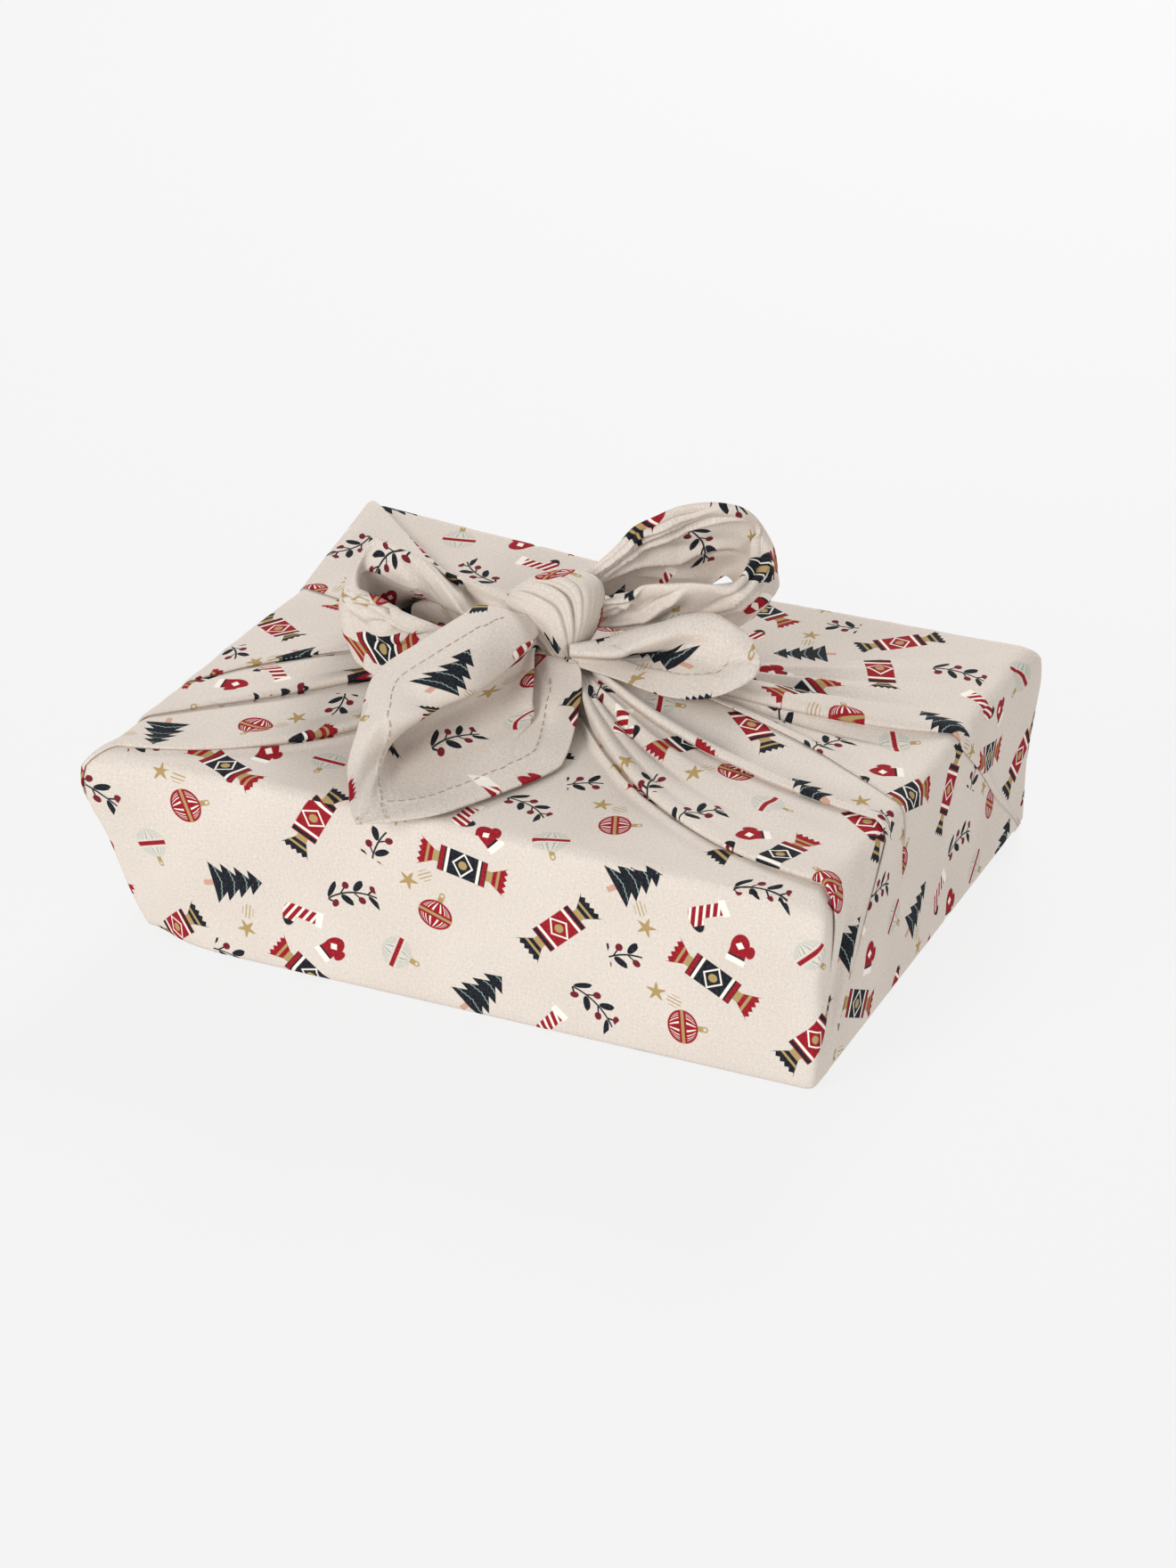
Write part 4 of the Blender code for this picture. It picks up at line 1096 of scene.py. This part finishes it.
def tail(name, sections, corner, material):
    """Single layer lofted through the sections, with a hem along its first and last columns."""
    rows = lofted(sections, TAIL_STATIONS, TAIL_STEPS)
    first_edge = [row[0] for row in rows[::3]]
    last_edge = [row[-1] for row in rows[::3]]
    vertices = []
    for station, row in enumerate(rows):
        after = rows[min(station + 1, TAIL_STATIONS - 1)]
        before = rows[max(station - 1, 0)]
        for step, point in enumerate(row):
            rise = row[min(step + 1, TAIL_STEPS - 1)] - row[max(step - 1, 0)]
            normal = (after[step] - before[step]).cross(rise).normalized()
            from_edge = min(beside(point, first_edge), beside(point, last_edge))
            doubled = max(0.0, min(1.0, (HEM - from_edge) / 0.8))
            vertices.append(in_bow(point - normal * doubled * HEM_LAYERS))
    first_hem = hem_lengths(rows, 0)
    last_hem = hem_lengths(rows, TAIL_STEPS - 1)
    flat = []
    for row, first, last in zip(rows, first_hem, last_hem):
        along = [0.0]
        for step in range(1, TAIL_STEPS):
            along.append(along[-1] + (row[step] - row[step - 1]).length)
        full = max(0.001, math.hypot(first, last))
        gathered = min(1.0, 1.15 * along[-1] / full)
        for length in along:
            share = 0.4 + (length / max(0.001, along[-1]) - 0.4) * gathered
            u, v = last * share, first * (1 - share)
            flat.append((corner[0] + (u + v) * 0.707, corner[1] + (v - u) * 0.707))
    return sheet_object(name, vertices, TAIL_STATIONS, TAIL_STEPS, flat, TAIL_CLOTH, material)


def seam(rows, edge, away):
    """Places on the rows at a distance from an edge line. Each row runs inwards from that edge."""
    path = []
    for row in rows:
        for step in range(1, len(row)):
            if beside(row[step], edge) >= away:
                path.append((row[step], row[step] - row[step - 1]))
                break
    return path


def thread_path(path):
    """Points of a seam lifted on to the upper face of the cloth."""
    lifted = []
    for index, (point, across) in enumerate(path):
        run = path[min(index + 1, len(path) - 1)][0] - path[max(index - 1, 0)][0]
        normal = run.cross(across).normalized()
        if normal.dot(UPPER_FACE) < 0:
            normal = -normal
        lifted.append(in_bow(point + normal * (TAIL_CLOTH / 2 + 0.6 * THREAD)))
    return lifted


def stitch_nodes():
    """Node tree that lays a short stitch again and again along the edges it is given."""
    tree = bpy.data.node_groups.new("stitches", "GeometryNodeTree")
    tree.interface.new_socket("Geometry", in_out="INPUT", socket_type="NodeSocketGeometry")
    tree.interface.new_socket("Geometry", in_out="OUTPUT", socket_type="NodeSocketGeometry")
    for name in ("Pitch", "Stitch", "Thread"):
        tree.interface.new_socket(name, in_out="INPUT", socket_type="NodeSocketFloat")
    tree.interface.new_socket("Material", in_out="INPUT", socket_type="NodeSocketMaterial")
    given = tree.nodes.new("NodeGroupInput")
    result = tree.nodes.new("NodeGroupOutput")
    curve = tree.nodes.new("GeometryNodeMeshToCurve")
    spaced = tree.nodes.new("GeometryNodeResampleCurve")
    spaced.mode = "LENGTH"
    tangent = tree.nodes.new("GeometryNodeInputTangent")
    turn = tree.nodes.new("FunctionNodeAlignRotationToVector")
    turn.axis = "Z"
    stitch = tree.nodes.new("GeometryNodeMeshCylinder")
    stitch.inputs["Vertices"].default_value = 8
    placed = tree.nodes.new("GeometryNodeInstanceOnPoints")
    real = tree.nodes.new("GeometryNodeRealizeInstances")
    painted = tree.nodes.new("GeometryNodeSetMaterial")
    for start, end in (
        (given.outputs["Geometry"], curve.inputs["Mesh"]),
        (curve.outputs["Curve"], spaced.inputs["Curve"]),
        (given.outputs["Pitch"], spaced.inputs["Length"]),
        (spaced.outputs["Curve"], placed.inputs["Points"]),
        (tangent.outputs["Tangent"], turn.inputs["Vector"]),
        (turn.outputs["Rotation"], placed.inputs["Rotation"]),
        (given.outputs["Thread"], stitch.inputs["Radius"]),
        (given.outputs["Stitch"], stitch.inputs["Depth"]),
        (stitch.outputs["Mesh"], placed.inputs["Instance"]),
        (placed.outputs["Instances"], real.inputs["Geometry"]),
        (real.outputs["Geometry"], painted.inputs["Geometry"]),
        (given.outputs["Material"], painted.inputs["Material"]),
        (painted.outputs["Geometry"], result.inputs["Geometry"]),
    ):
        tree.links.new(start, end)
    return tree


def stitched(name, paths, material):
    """Rows of stitches along the paths."""
    points = [point * MM for path in paths for point in path]
    edges = []
    start = 0
    for path in paths:
        edges += [(start + index, start + index + 1) for index in range(len(path) - 1)]
        start += len(path)
    guide = bpy.data.meshes.new(name)
    guide.from_pydata(points, edges, [])
    made = bpy.data.objects.new(name, guide)
    bpy.context.scene.collection.objects.link(made)
    tree = stitch_nodes()
    modifier = made.modifiers.new("stitches", "NODES")
    modifier.node_group = tree
    settings = {"Pitch": STITCH_PITCH * MM, "Stitch": STITCH * MM, "Thread": THREAD * MM,
                "Material": material}
    for item in tree.interface.items_tree:
        if item.item_type == "SOCKET" and item.in_out == "INPUT" and item.name in settings:
            modifier[item.identifier] = settings[item.name]
    made.update_tag()
    shown = made.evaluated_get(bpy.context.evaluated_depsgraph_get())
    sewn = bpy.data.meshes.new_from_object(shown)
    made.modifiers.remove(modifier)
    made.data = sewn
    return made


sewing_thread = bpy.data.materials.new("sewing thread")
sewing_thread.use_nodes = True
thread_shader = sewing_thread.node_tree.nodes["Principled BSDF"]
thread_shader.inputs["Base Color"].default_value = (0.40, 0.31, 0.235, 1)
thread_shader.inputs["Roughness"].default_value = 0.7

left_tail = tail("left_tail", LEFT_TAIL, (700, 500), printed_cotton)
right_tail = tail("right_tail", RIGHT_TAIL, (838, 634), printed_cotton)

# The stitches begin a little way from the knot. Every second row of the cloth is enough to follow a hem.
left_rows = lofted(LEFT_TAIL, TAIL_STATIONS, TAIL_STEPS)[10::2]
right_rows = lofted(RIGHT_TAIL, TAIL_STATIONS, TAIL_STEPS)[8::2]
left_hem = [row[0] for row in left_rows]
free_hem = [row[-1] for row in left_rows]
bottom_hem = [row[-1] for row in right_rows]
end_hem = right_rows[-1]
backwards = [row[::-1] for row in left_rows[8:]]
from_bottom = [row[::-1] for row in right_rows]
from_end = [list(column)[::-1] for column in zip(*right_rows)][40::3]
left_seams = [thread_path(seam(left_rows, left_hem, HEM)), thread_path(seam(backwards, free_hem, HEM))]
right_seams = [thread_path(seam(from_bottom, bottom_hem, HEM)),
               thread_path(seam(from_end, end_hem, 0.8 * HEM))]
left_stitches = stitched("left_stitches", left_seams, sewing_thread)
right_stitches = stitched("right_stitches", right_seams, sewing_thread)
for piece in (left_stitches, right_stitches):
    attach(piece, "root")
for piece in (left_tail, right_tail):
    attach(piece, "root")
    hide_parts("furoshiki")


# ---------------------------------------------------------------- floor, light and camera

# A pale seamless floor under soft studio light, with the camera at the height of someone standing
# at the table.

floor_mesh = bpy.data.meshes.new("floor")
floor_mesh.from_pydata([(-6, -6, 0), (6, -6, 0), (6, 6, 0), (-6, 6, 0)], [], [(0, 1, 2, 3)])
floor = bpy.data.objects.new("floor", floor_mesh)
bpy.context.scene.collection.objects.link(floor)
floor.location.z = -0.0005  # just clear of the cloth
paper = bpy.data.materials.new("pale floor")
paper.use_nodes = True
paper_shader = paper.node_tree.nodes["Principled BSDF"]
paper_shader.inputs["Base Color"].default_value = (0.04, 0.04, 0.04, 1.0)
paper_shader.inputs["Emission Color"].default_value = (1.0, 1.0, 1.0, 1.0)
paper_shader.inputs["Emission Strength"].default_value = 0.83
paper_shader.inputs["Roughness"].default_value = 0.95
floor_mesh.materials.append(paper)

Light = namedtuple("Light", "name place aim size power")
LIGHTS = (
    Light("front softbox", (-0.6, -1.7, 0.8), (0, 0, 0.05), 0.8, 22.5),
    Light("back softbox", (-0.15, 1.5, 1.0), (0, 0, 0.05), 0.6, 20),
    Light("side softbox", (1.0, -0.45, 0.45), (0, 0, 0.05), 0.5, 2.2),
)
for light in LIGHTS:
    lamp = bpy.data.lights.new(light.name, "AREA")
    lamp.size = light.size
    lamp.energy = light.power
    made = bpy.data.objects.new(light.name, lamp)
    made.location = light.place
    made.rotation_euler = (Vector(light.aim) - Vector(light.place)).to_track_quat("-Z", "Y").to_euler()
    bpy.context.scene.collection.objects.link(made)

world = bpy.data.worlds.new("studio")
world.use_nodes = True
world.node_tree.nodes["Background"].inputs["Color"].default_value = (1, 1, 1, 1)
world.node_tree.nodes["Background"].inputs["Strength"].default_value = 0.52
bpy.context.scene.world = world
bpy.context.scene.view_settings.view_transform = "Standard"

CAMERA_PLACE = (0.5377, -1.1864, 0.7105)
CAMERA_AZIMUTH = 24.2455
CAMERA_HEIGHT = 27.4237
lens = bpy.data.cameras.new("camera")
lens.sensor_fit = "VERTICAL"
lens.sensor_height = 36.0
lens.lens = 100.52
camera = bpy.data.objects.new("camera", lens)
camera.location = CAMERA_PLACE
camera.rotation_euler = (math.radians(90 - CAMERA_HEIGHT), 0.0, math.radians(CAMERA_AZIMUTH))
bpy.context.scene.collection.objects.link(camera)
bpy.context.scene.camera = camera
